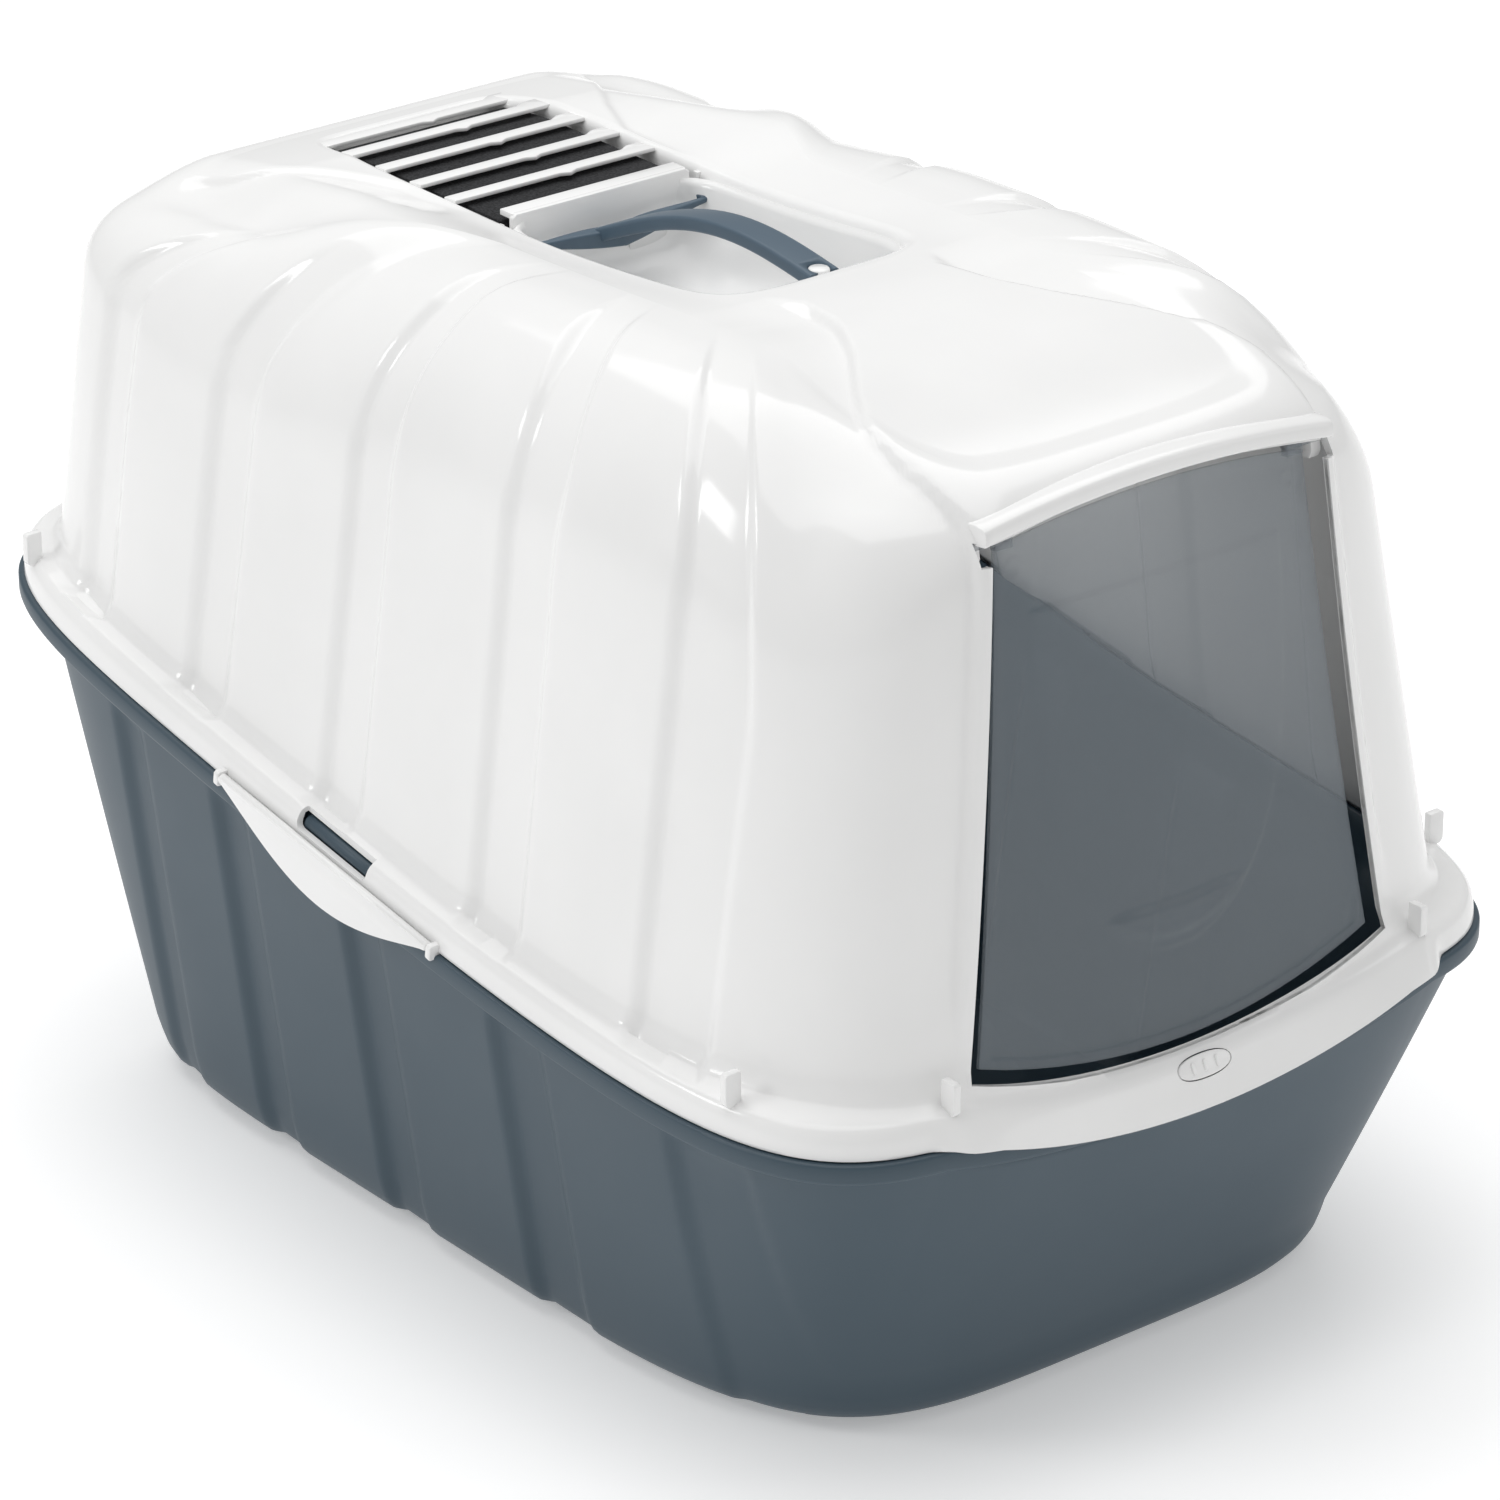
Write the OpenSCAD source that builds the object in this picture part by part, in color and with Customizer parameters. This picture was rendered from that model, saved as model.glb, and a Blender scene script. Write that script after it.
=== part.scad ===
// Cat litter box with a lift-off hood, a swing door and side latches.
// Millimetres, +Z up, the door faces -Y, origin on the floor under the centre.

/* [Tray] */
// Length of the tray rim from its middle to the back
rim_back = 285; // [270:1:300]
// Length of the tray rim from its middle to the front
rim_front = 279; // [265:1:290]
// Half width over the tray rim
rim_half_w = 193; // [185:1:200]
// Half width of the floor
floor_half_w = 161; // [150:1:165]
// Front end of the floor, measured from the middle
floor_front = 237; // [225:1:245]
// Back end of the floor, measured from the middle
floor_back = 235; // [215:1:240]
// Height of the rim band's lower edge at mid length
rim_z = 163.5; // [150:0.5:180]
// Rise of the rim from the front to the back, per millimetre
rim_slope = 0.16; // [0.1:0.01:0.2]
// How far the front of the rim levels out
rim_curl = 22.5; // [10:0.5:30]
// How far the back of the rim curves up
rim_curl_back = 6; // [4:0.5:20]
// How far the rim dips at the entry
entry_dip = 12; // [8:1:14]
// Half width of the entry and of the front skirt
entry_half_w = 124; // [110:1:130]
// Height of the rim band
band_h = 8; // [6:0.5:10]
// Height of the upstand that the hood sits over
upstand_h = 9; // [7:0.5:10]
// Overhang of the rim band past the wall
band_w = 10; // [8:0.5:12]
// Height of the four feet
foot_h = 4; // [3:0.5:6]

/* [Hood] */
// Highest point of the hood
hood_top = 405; // [390:1:420]
// Half width of the hood wall at its foot
hood_half_w = 178.5; // [172:0.5:180]
// Front of the hood wall at its foot
hood_front = 268; // [260:1:270]
// Back of the hood wall at its foot
hood_back = 271; // [262:1:275]
// Lean of the hood walls, horizontal over vertical
wall_lean = 0.12; // [0.05:0.01:0.15]
// Extra drop of the skirt across the front
skirt_drop = 7; // [3:1:10]
// How far the front skirt stands out past the tray rim
skirt_out = 6; // [5:0.5:7]

/* [Walls] */
// Wall thickness of the mouldings
wall = 2.5; // [2:0.1:3]
// Depth of the grooves in the side walls
groove_depth = 4; // [2:0.5:6]
// Points around each moulding, a multiple of four
around = 96; // [80:4:120]

/* [Door] */
// Height of the hinge axis
hinge_z = 369; // [367:1:371]
// Distance of the hinge axis in front of the middle
hinge_y = 238; // [237:1:239]
// Half width of the opening at the hinge
opening_top = 82.5; // [80:0.5:85]
// Half width of the opening at its lower corners
opening_bottom = 105.5; // [100:0.5:108]
// Height of the opening's lower corners
opening_z = 166; // [160:1:172]
// Gap beside the door
door_gap = 5.5; // [4:0.5:6]
// Gap over and under the door
door_end_gap = 2.5; // [2:0.5:3]
// Diameter of the door's hinge pins
pin_d = 5; // [4:0.5:5]

/* [Deck] */
// Half width of the well in the deck
well_half_w = 50; // [46:1:54]
// Front end of the well
well_front = 52; // [48:1:56]
// Back end of the grille
well_back = 224; // [215:1:226]
// Wall between the hand recess and the grille
panel_y = 90; // [86:1:94]
// Number of slats
slats = 5; // [4:1:6]
// Width of the slots between the slats
slot_w = 15.6; // [12:0.1:17]
// Depth of the hand recess
bowl_depth = 42; // [35:1:45]

/* [Latches] */
// Place of the side latches along the length
latch_y = 22; // [10:1:30]
// Length of each side latch
latch_len = 140; // [120:1:150]
// Height of each side latch
latch_h = 19; // [16:1:24]

/* [Hidden] */
fit = 0.05;
gap = 0.3;

// Colours
tray_colour = "#5b6b79";
hood_colour = "#f2f1ee";
door_colour = "#7d868c80";
handle_colour = "#5c7285";
filter_colour = "#26282b";

// Outline: a rounded rectangle as a superellipse whose front and back halves differ in
// length and in how square their corners are.
function sgn(v) = v < 0 ? -1 : 1;
function on_outline(dir, a, front, back, n, back_n) =
    let (b = sin(dir) < 0 ? front : back, power = sin(dir) < 0 ? n : back_n)
    pow(pow(abs(cos(dir)) / a, power) + pow(abs(sin(dir)) / b, power), -1 / power)
    * [cos(dir), sin(dir)];
function ease(v) = let (c = max(0, min(1, v))) c * c * (3 - 2 * c);
function mix(a, b, t) = a + (b - a) * t;

// Height of the rim band's lower edge at a place on the outline.
function rim_low(p) =
    rim_z + rim_slope * p.y + (p.y < 0 ? rim_curl : rim_curl_back) * pow(p.y / rim_front, 2)
    - entry_dip * entry(p);
function rim_top(p) = rim_low(p) + band_h;
// 1 at the middle of the front, 0 at the ends of the low entry and everywhere else.
function entry(p) = p.y > 0 ? 0 : max(0, 1 - pow(p.x / entry_half_w, 2));

// Grooves in the side walls, wider towards the front: the middle and width of each one.
tray_grooves = [[178, 28], [105, 28], [18, 32], [-84, 38], [-196, 46]];
hood_grooves = [[205, 30], [125, 32], [32, 32], [-68, 38], [-172, 46]];
// 0 on a panel, 1 at the middle of a groove.
function groove(y, grooves) =
    max([for (g = grooves) ease(1.6 * (1 - abs(y - g[0]) / (g[1] / 2)))]);
function grooved(p, a, depth, grooves) =
    let (side = pow(min(1, abs(p.x) / a), 10))
    [p.x - sgn(p.x) * depth * groove(p.y, grooves) * side, p.y];

// A closed skin through rings of points. Every ring has the same number of points.
module skin(rings) {
    n = len(rings[0]);
    m = len(rings);
    points = [for (r = rings) each r];
    sides = [for (k = [0:m - 2], i = [0:n - 1])
        let (j = (i + 1) % n)
        each [[k * n + i, (k + 1) * n + i, (k + 1) * n + j],
              [k * n + i, (k + 1) * n + j, k * n + j]]];
    ends = [[for (i = [0:n - 1]) i], [for (i = [n - 1:-1:0]) (m - 1) * n + i]];
    polyhedron(points, concat(sides, ends), convexity = 10);
}

// A skin whose last ring joins its first one, for a shell that is open in the middle.
module ring_skin(rings) {
    n = len(rings[0]);
    m = len(rings);
    points = [for (r = rings) each r];
    sides = [for (k = [0:m - 1], i = [0:n - 1])
        let (j = (i + 1) % n, l = (k + 1) % m)
        each [[k * n + i, l * n + i, l * n + j],
              [k * n + i, l * n + j, k * n + j]]];
    polyhedron(points, sides, convexity = 10);
}

directions = [for (i = [0:around - 1]) 360 * i / around];

// ---- Tray ----
floor_z = foot_h;
toe_z = 24;
plan_n = [6.2, 7.8];
floor_n = [4.4, 7];

front_overhang = 3;
// A ring of the tray wall: up = 0 at the toe and 1 under the rim, inset = wall thickness.
function tray_wall_ring(up, inset) = [for (dir = directions)
    let (a = mix(floor_half_w + 2, rim_half_w - band_w, up) - inset,
         front = mix(floor_front + 2, rim_front - front_overhang, up) - inset,
         back = mix(floor_back + 2, rim_back - band_w, up) - inset,
         n = mix(floor_n, plan_n, up),
         flat = on_outline(dir, a, front, back, n[0], n[1]),
         fade = ease(4 * (1 - up)),
         p = grooved(flat, a, groove_depth * fade, tray_grooves))
    [p.x, p.y, mix(toe_z, rim_low(p) - 2, up)]];
function tray_floor_ring(inset, z) = [for (dir = directions)
    let (a = floor_half_w + 2 - inset,
         flat = on_outline(dir, a, floor_front + 2 - inset, floor_back + 2 - inset,
                           floor_n[0], floor_n[1]),
         p = grooved(flat, a, groove_depth * ease((z - floor_z) / 12), tray_grooves))
    [p.x, p.y, z]];
// The outline of the rim band, brought in by an inset.
function rim_outline(dir, inset) =
    on_outline(dir, rim_half_w - inset, rim_front - inset, rim_back - inset,
               plan_n[0], plan_n[1]);
function tray_rim_ring(inset, rise) = [for (dir = directions)
    let (p = rim_outline(dir, inset))
    [p.x, p.y, rim_low(rim_outline(dir, 0)) + rise]];

toe_insets = [[14, 0], [6.5, 3], [2, 9]];
module tray_shell() {
    skin(concat(
        [for (t = toe_insets) tray_floor_ring(t[0], floor_z + t[1])],
        [for (up = [0, 0.25, 0.5, 0.75, 0.9, 1]) tray_wall_ring(up, 0)],
        [tray_rim_ring(0.5, 0), tray_rim_ring(0, band_h),
         tray_rim_ring(band_w, band_h), tray_rim_ring(band_w, band_h + upstand_h),
         tray_rim_ring(band_w + wall, band_h + upstand_h),
         tray_rim_ring(band_w + wall, band_h - wall)],
        [for (up = [1, 0.75, 0.5, 0.25, 0]) tray_wall_ring(up, wall)],
        [tray_floor_ring(8, floor_z + wall + 3.5),
         tray_floor_ring(16, floor_z + wall)]));
}

// One foot in each corner, following the floor's outline.
foot_inner_x = 84;
foot_len = 46;
module feet() {
    linear_extrude(floor_z + 1)
        intersection() {
            polygon([for (dir = directions)
                on_outline(dir, floor_half_w - 14, floor_front - 14, floor_back - 14,
                           floor_n[0], floor_n[1])]);
            for (side = [-1, 1])
                union() {
                    translate([side * (foot_inner_x + 50), -floor_front + foot_len / 2])
                        square([100, foot_len], center = true);
                    translate([side * (foot_inner_x + 50), floor_back - foot_len / 2])
                        square([100, foot_len], center = true);
                }
        }
}

// A frame on the rim at a latch: x outwards, y along the rim, z up from the band.
rim_tilt = atan(rim_slope + 2 * rim_curl_back * latch_y / pow(rim_front, 2));
module at_latch(side) {
    translate([side * rim_half_w, latch_y, rim_top([rim_half_w, latch_y])])
        rotate([rim_tilt, 0, 0])
            children();
}

// A long bead on each side of the rim, seen through the slot over the latch.
bead_len = 42;
bead_d = 5;
bead_z = 6;
module latch_bead(side) {
    at_latch(side)
        translate([-side * (band_w - 1), 0, bead_z])
            rotate([90, 0, 0])
                cylinder(h = bead_len, d = bead_d, center = true, $fn = 32);
}

module tray() {
    color(tray_colour)
    union() {
        tray_shell();
        feet();
        latch_bead(-1);
        latch_bead(1);
    }
}

// ---- Hood ----
foot_rise = band_h + 15;
shoulder_side = [75, 80];
shoulder_back = [28, 32];
shoulder_front = [22, 24];
foot_n = [5.5, 8];
wall_n = [4.6, 8];
top_n = [3.6, 6];
back_lean = 0.02;
crest_y = -80;
back_fall = 16;
front_fall = 24;
valley_start = -120;
valley_z = 392;

// Height of the deck: a crest behind the door, falling gently to the back, with a level
// valley along the middle that starts in front of the hand recess.
function deck_edge_z(y) =
    hood_top - 0.02 * max(0, y - crest_y) - back_fall * pow(max(0, y - 60) / 190, 2)
    - front_fall * pow(max(0, crest_y - y) / 165, 2);
function deck_z(x, y) =
    let (edge = deck_edge_z(y),
         middle = ease((y - valley_start) / 200) * (1 - ease((abs(x) - well_half_w) / 45)))
    mix(edge, min(edge, valley_z), middle);
// 1 at the middle of the front, 0 from the front corners on.
function frontness(dir) =
    let (away = abs(((dir - 270 + 540) % 360) - 180)) ease((34 - away) / 18);
// 1 at the back, 0 on the long sides.
function backness(dir) = ease((sin(dir) - 0.55) / 0.35);
function shoulder(dir, i) =
    mix(mix(shoulder_side[i], shoulder_back[i], backness(dir)), shoulder_front[i],
        frontness(dir));

// The wall from its foot, up = 0, to the shoulder, up = 1.
// The outline after leaning in over a height and turning in by a share of the shoulder.
function hood_outline(dir, rise, turned, inset, n) =
    let (run = shoulder(dir, 0) * turned + inset)
    on_outline(dir, hood_half_w - wall_lean * rise - run, hood_front - wall_lean * rise - run,
               hood_back - back_lean * rise - run, n[0], n[1]);
wall_rise = 150;
top_rise_z = 215;
function top_point(dir, inset) = hood_outline(dir, top_rise_z, 1, inset, top_n);
function shoulder_z(dir, inset) =
    let (p = top_point(dir, inset)) deck_z(p.x, p.y) - inset - shoulder(dir, 1);
function hood_wall_ring(up, inset) = [for (dir = directions)
    let (flat = hood_outline(dir, wall_rise * up, 0, inset, mix(foot_n, wall_n, up)),
         side = hood_half_w - wall_lean * wall_rise * up - inset,
         p = grooved(flat, side, groove_depth * ease(5 * up), hood_grooves))
    [p.x, p.y, mix(rim_low(p) + foot_rise - inset, shoulder_z(dir, inset), up)]];
function hood_shoulder_ring(turn, inset) = [for (dir = directions)
    let (rise = mix(wall_rise, top_rise_z, sin(turn)),
         turned = 1 - cos(turn),
         flat = hood_outline(dir, rise, turned, inset, mix(wall_n, top_n, turned)),
         side = hood_half_w - wall_lean * rise - shoulder(dir, 0) * turned - inset,
         p = grooved(flat, side, groove_depth * ease((85 - turn) / 50), hood_grooves))
    [p.x, p.y, shoulder_z(dir, inset) + shoulder(dir, 1) * sin(turn)]];
function well_ring(grow, drop) = [for (dir = directions)
    let (p = on_outline(dir, well_half_w + grow, well_front + grow, well_back + grow, 9, 9))
    [p.x, p.y, deck_z(p.x, p.y) - drop]];
function between_rings(a, b, t, drop) = [for (i = [0:around - 1])
    let (p = mix(a[i], b[i], t)) [p.x, p.y, deck_z(p.x, p.y) - drop]];

// The rim: a ledge over the tray's upstand with a skirt down to the tray's band.
function skirt_here(p) = p.y > 0 ? 0 : ease((entry_half_w + 8 - abs(p.x)) / 16);
function skirt_fall(p) =
    p.y > 0 ? 0 : skirt_drop * max(0, 1 - pow(p.x / (entry_half_w - 20), 2));
function hood_rim_ring(inset, rise, fall, out) = [for (dir = directions)
    let (p = rim_outline(dir, 2 + inset), edge = rim_outline(dir, 0))
    [p.x, p.y - skirt_here(p) * out, rim_top(edge) + rise - fall * skirt_fall(p)]];

module hood_shell() {
    top_out = hood_shoulder_ring(90, 0);
    top_in = hood_shoulder_ring(90, wall);
    well_out = well_ring(0, 0);
    well_in = well_ring(0, wall);
    ring_skin(concat(
        [hood_rim_ring(0, gap, 1, skirt_out + 2),
         hood_rim_ring(0.8, 9, 0, skirt_out - 3.5),
         hood_rim_ring(3, 13, 0, 1),
         hood_rim_ring(9, 14.5, 0, 1)],
        [for (up = [0, 0.3, 0.65, 1]) hood_wall_ring(up, 0)],
        [for (turn = [18:18:90]) hood_shoulder_ring(turn, 0)],
        [for (t = [0.35, 0.7, 1]) between_rings(top_out, well_out, t, 0)],
        [for (t = [1, 0.5]) between_rings(top_in, well_in, t, wall)],
        [for (turn = [90:-30:30]) hood_shoulder_ring(turn, wall)],
        [for (up = [1, 0.5, 0]) hood_wall_ring(up, wall)],
        [hood_rim_ring(band_w + 0.3, 12, 0, 0),
         hood_rim_ring(wall + 1.5, 11, 0, 1),
         hood_rim_ring(wall, gap, 1, skirt_out + 2)]));
}
// A place on the front wall: the door's plane leans back from its foot to the hinge.
door_foot_y = 262;
door_tilt = atan((door_foot_y - hinge_y) / (hinge_z - opening_z));
module at_door() {
    translate([0, -hinge_y, hinge_z])
        rotate([-door_tilt, 0, 0])
            children();
}
door_fall = (hinge_z - opening_z) / cos(door_tilt);
top_rise = 6.5;
bottom_drop = 16;
side_hollow = 2;
// Outline of the opening in the door's plane: bowed top and bottom, slightly hollow sides.
function bow(half, level, height, steps = 12) = [for (i = [0:steps])
    let (x = mix(-half, half, i / steps)) [x, level + height * (1 - pow(x / half, 2))]];
function opening_outline(side, end) =
    let (middle = [(opening_top + opening_bottom) / 2 - side_hollow - side, -door_fall / 2])
    concat(
        bow(opening_top - side, -end, top_rise), [middle],
        [for (p = bow(opening_bottom - side, end - door_fall, -bottom_drop)) [-p.x, p.y]],
        [[-middle.x, middle.y]]);
module opening_prism(side, end, depth) {
    at_door()
        rotate([90, 0, 0])
            translate([0, 0, -depth / 2])
                linear_extrude(depth)
                    polygon(opening_outline(side, end));
}

// Hand recess: a bowl hung in the front part of the deck's well.
bowl_n = 9;
function bowl_ring(shrink, depth) = [for (dir = directions)
    let (p = on_outline(dir, (well_half_w + 1.5) * shrink, (well_front + 1.5) * shrink,
                        (panel_y + 1.5) * shrink, mix(2.5, bowl_n, shrink),
                        mix(2.5, bowl_n, shrink)))
    [p.x, p.y, mix(deck_z(p.x, p.y), deck_z(0, 0), 1 - shrink) - depth]];
bowl_steps = [[1, 0.06], [0.97, 0.45], [0.9, 0.72], [0.75, 0.9], [0.45, 1], [0.1, 1]];
bowl_last = len(bowl_steps) - 1;
module bowl() {
    skin(concat(
        [for (i = [bowl_last:-1:0])
            bowl_ring(bowl_steps[i][0] + (i > 3 ? 0 : 0.03), bowl_steps[i][1] * bowl_depth + wall)],
        [for (s = bowl_steps) bowl_ring(s[0] - 0.015, s[1] * bowl_depth)]));
}

// Grille: slats across the well behind the recess, and the wall in front of them.
grille_len = well_back - panel_y - wall;
slat_pitch = grille_len / (slats + 0.57);
slat_w = slat_pitch - slot_w;
first_slat = 30;
panel_top = deck_z(0, panel_y);
panel_h = 30;
panel_bar = 11;
notch_x = 46;
notch_w = 6;
function slat_y(i) = panel_y + first_slat + slat_w / 2 + i * slat_pitch;
module grille() {
    for (i = [0:slats - 1])
        translate([0, slat_y(i), deck_z(0, slat_y(i)) - 2])
            cube([2 * well_half_w + 3, slat_w, wall], center = true);
    difference() {
        union() {
            translate([-well_half_w - 1.5, panel_y, panel_top - panel_h])
                cube([2 * well_half_w + 3, wall, panel_h]);
            translate([-well_half_w - 1.5, panel_y, panel_top - wall])
                cube([2 * well_half_w + 3, panel_bar, wall]);
        }
        translate([0, panel_y, panel_top - panel_h + 6])
            cube([30, 3 * wall, 12], center = true);
    }
}
// The notches at both ends of the wall, which hold the handle's tips.
module notches() {
    for (side = [-1, 1])
        translate([side * notch_x, panel_y - 3, panel_top - 8])
            cube([notch_w, 20, 20], center = true);
}

// Small upright fins where the wall meets the rim ledge, two at each corner.
fin_side = [[168, -216], [168, 244]];
fin_end = [[119, -265], [119, 269]];
fin_out = 10;
fin_h = 14;
module fin(p, along_x) {
    translate([p.x, p.y, rim_top(p) + 13 + fin_h / 2])
        cube(along_x ? [fin_out, 3, fin_h] : [3, fin_out, fin_h], center = true);
}
module fins() {
    for (side = [-1, 1], i = [0, 1]) {
        fin([side * fin_side[i].x, fin_side[i].y], true);
        fin([side * fin_end[i].x, fin_end[i].y], false);
    }
}

// Hinge sockets: an ear on each side of the opening with a bore for the door's pin.
ear_w = 5;
module hinge_ears() {
    at_door()
        for (side = [-1, 1])
            translate([side * (opening_top + ear_w / 2 - 0.5), 3, -1.5])
                cube([ear_w, 13, 15], center = true);
}
module hinge_bores() {
    at_door()
        rotate([0, 90, 0])
            cylinder(h = 2 * (opening_top + ear_w) + 6, d = pin_d + 2 * fit, center = true,
                     $fn = 48);
}
// Room above the ends of the opening for the door's knuckles to turn in.
knuckle = 8;
knuckle_drop = 4.5;
knuckle_x = opening_top - door_gap - knuckle / 2;
module hinge_room() {
    at_door()
        for (side = [-1, 1])
            translate([side * (knuckle_x - 3), 0, 0])
                rotate([0, 90, 0])
                    cylinder(h = knuckle + 9, r = knuckle_drop + 0.8, center = true,
                             $fn = 48);
}
// The brow over the door: a curved lip that stands out from the wall.
brow_out = 9;
brow_back = 8;
brow_h = 8;
module brow() {
    at_door()
        rotate([90, 0, 0])
            translate([0, 0, -brow_back])
                linear_extrude(brow_out + brow_back)
                    polygon(concat(bow(opening_top + 2.5, brow_h, top_rise),
                        [for (p = bow(opening_top + 2.5, 0.3, top_rise)) [-p.x, p.y]]));
}

// Latch ears: a pair on each side of the rim that holds the latch's hinge pins.
latch_pin_d = 2.5;
latch_ear = 5;
latch_axis_x = 0.6;
latch_axis_z = 3.2;
module at_latch_axis(side) {
    at_latch(side)
        translate([side * latch_axis_x, 0, latch_axis_z])
            children();
}
module latch_ears(side) {
    for (end = [-1, 1])
        at_latch_axis(side)
            translate([-side * 1.2, end * (latch_len + latch_ear) / 2, 0.8])
                cube([7, latch_ear, 4.8], center = true);
}
module latch_bores(side) {
    at_latch_axis(side)
        rotate([90, 0, 0])
            cylinder(h = latch_len + 2 * latch_ear + 4, d = latch_pin_d + 2 * fit, center = true,
                     $fn = 36);
}
// The slot in the skirt over each latch.
slot_len = 46;
slot_low = 5.8;
slot_h = 9;
module latch_slot(side) {
    at_latch(side)
        translate([-side * 4, 0, slot_low + slot_h / 2])
            cube([slot_h, slot_len, slot_h], center = true);
}

// The place of the push catch: on the skirt's face, which leans back.
catch_half_w = 14;
catch_half_h = 5;
catch_y = 278;
catch_z = 146;
catch_lean = 28;
module at_catch() {
    translate([0, -catch_y, catch_z])
        rotate([-catch_lean, 0, 0])
            children();
}
module catch_plug(grow, from, to) {
    at_catch()
        translate([0, from, 0])
            rotate([-90, 0, 0])
                linear_extrude(to - from)
                    hull()
                        for (side = [-1, 1])
                            translate([side * (catch_half_w - catch_half_h), 0])
                                circle(r = catch_half_h + grow, $fn = 48);
}

module hood() {
    color(hood_colour)
    difference() {
        union() {
            hood_shell();
            bowl();
            grille();
            fins();
            hinge_ears();
            brow();
            peg();
            latch_ears(-1);
            latch_ears(1);
        }
        opening_prism(0, 0, 36);
        hinge_bores();
        hinge_room();
        latch_bores(-1);
        latch_bores(1);
        latch_slot(-1);
        latch_slot(1);
        catch_plug(gap, -5, 6);
        notches();
    }
}

// ---- Door ----
pane = 2;
pane_radius = 1400;
pane_bow = 3;
pin_len = ear_w + door_gap + knuckle;
module door() {
    color(door_colour)
    union() {
        intersection() {
            opening_prism(door_gap, door_end_gap, 60);
            at_door()
                translate([0, pane_radius - pane_bow, 0])
                    difference() {
                        cylinder(h = 600, r = pane_radius + pane / 2, center = true,
                                 $fn = 180);
                        cylinder(h = 602, r = pane_radius - pane / 2, center = true,
                                 $fn = 180);
                    }
        }
        at_door()
            for (side = [-1, 1]) {
                translate([side * (opening_top + ear_w - 0.5 - pin_len / 2), 0, 0])
                    rotate([0, 90, 0])
                        cylinder(h = pin_len, d = pin_d, center = true, $fn = 48);
                translate([side * knuckle_x, -0.4 * pane, -knuckle_drop / 2])
                    cube([knuckle, 1.75 * pane, knuckle_drop], center = true);
            }
    }
}

// ---- Handle ----
bar_y = panel_y - 8.5;
bar_t = 4.5;
bar_h = 9;
bar_z = panel_top - 12;
arm_w = 15;
arm_t = 6;
arm_rise = 13;
arm_steps = 6;
arm_front = 5 - well_front;
peg_d = 9;
function arm_y(i) = mix(arm_front, bar_y, i / arm_steps);
function arm_z(i) =
    mix(deck_z(0, arm_front) - 4, bar_z, i / arm_steps) + arm_rise * sin(180 * i / arm_steps);
module handle() {
    color(handle_colour)
    difference() {
        union() {
            for (i = [0:arm_steps - 1])
                hull()
                    for (j = [i, i + 1])
                        translate([0, arm_y(j), arm_z(j)])
                            cube([arm_w, 0.6, arm_t], center = true);
            translate([0, bar_y, bar_z])
                cube([2 * notch_x + notch_w - 2 * gap, bar_t, bar_h], center = true);
            for (side = [-1, 1])
                translate([side * notch_x, bar_y + 6, bar_z])
                    cube([notch_w - 2 * gap, 14, bar_h], center = true);
        }
        translate([0, arm_front, 0])
            cylinder(h = 2 * hood_top, d = peg_d + 2 * gap, $fn = 36);
    }
}
// The peg on the front edge of the recess that the handle's front end hooks over.
module peg() {
    translate([0, arm_front, arm_z(0) - 10])
        cylinder(h = 12, d = peg_d, $fn = 36);
    translate([0, arm_front - 6, arm_z(0) - 8])
        cube([peg_d, 12, 4], center = true);
}

// ---- Filter ----
filter_h = 8;
filter_z = deck_z(0, well_back) - 6 - filter_h;
module charcoal_filter() {
    color(filter_colour)
    translate([-well_half_w + 5, panel_y + 8, filter_z])
        cube([2 * well_half_w - 10, grille_len - 14, filter_h]);
}
module filter_holder() {
    color(hood_colour)
    difference() {
        translate([-well_half_w + 2, panel_y + 4.5, filter_z - 2.5])
            cube([2 * well_half_w - 4, grille_len - 6, filter_h + 3.5]);
        translate([-well_half_w + 4.5, panel_y + 7.5, filter_z])
            cube([2 * well_half_w - 9, grille_len - 13, filter_h + 5]);
        for (i = [0:5])
            translate([-well_half_w + 12, panel_y + 14 + i * 17, filter_z - 5])
                cube([2 * well_half_w - 24, 11, 10]);
    }
}

// ---- Latches ----
latch_t = 2;
barrel_d = 4;
latch_steps = 24;
function latch_drop(u) = latch_h * cos(90 * u);
module latch(side) {
    half = latch_len / 2 - gap;
    at_latch_axis(side) {
        rotate([90, 0, 90])
            translate([0, 0, side > 0 ? 0.3 : -0.3 - latch_t])
                linear_extrude(latch_t)
                    polygon(concat([[half, 1]],
                        [for (i = [0:latch_steps])
                            let (u = 1 - 2 * i / latch_steps) [u * half, -1 - latch_drop(u)]],
                        [[-half, 1]]));
        rotate([90, 0, 0])
            cylinder(h = 2 * half, d = barrel_d, center = true, $fn = 36);
        rotate([90, 0, 0])
            cylinder(h = latch_len + 2 * latch_ear - 1, d = latch_pin_d, center = true, $fn = 36);
    }
}
module latch_left() {
    color(hood_colour) latch(-1);
}
module latch_right() {
    color(hood_colour) latch(1);
}

// ---- Push catch ----
// An oval pad in the front skirt, with grip bars on its face and a flange behind the skirt
// that keeps it from falling out.
grip_bars = 3;
grip_pitch = 6;
pad_proud = 0.5;
skirt_t = 3.5;
stem_w = 16;
stem_h = 5;
flange_w = 2 * catch_half_w + 5;
flange_t = 1.2;
module push_catch() {
    color(hood_colour)
    union() {
        catch_plug(0, -pad_proud, pad_proud + 1.2);
        at_catch() {
            for (i = [0:grip_bars - 1])
                translate([(i - (grip_bars - 1) / 2) * grip_pitch, -pad_proud, 0])
                    cube([1.6, 0.8, 5], center = true);
            translate([-stem_w / 2, 1, -stem_h / 2])
                cube([stem_w, skirt_t, stem_h]);
            translate([-flange_w / 2, skirt_t, -stem_h / 2])
                cube([flange_w, flange_t, stem_h]);
        }
    }
}

tray();
hood();
door();
handle();
filter_holder();
charcoal_filter();
latch_left();
latch_right();
push_catch();
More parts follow.
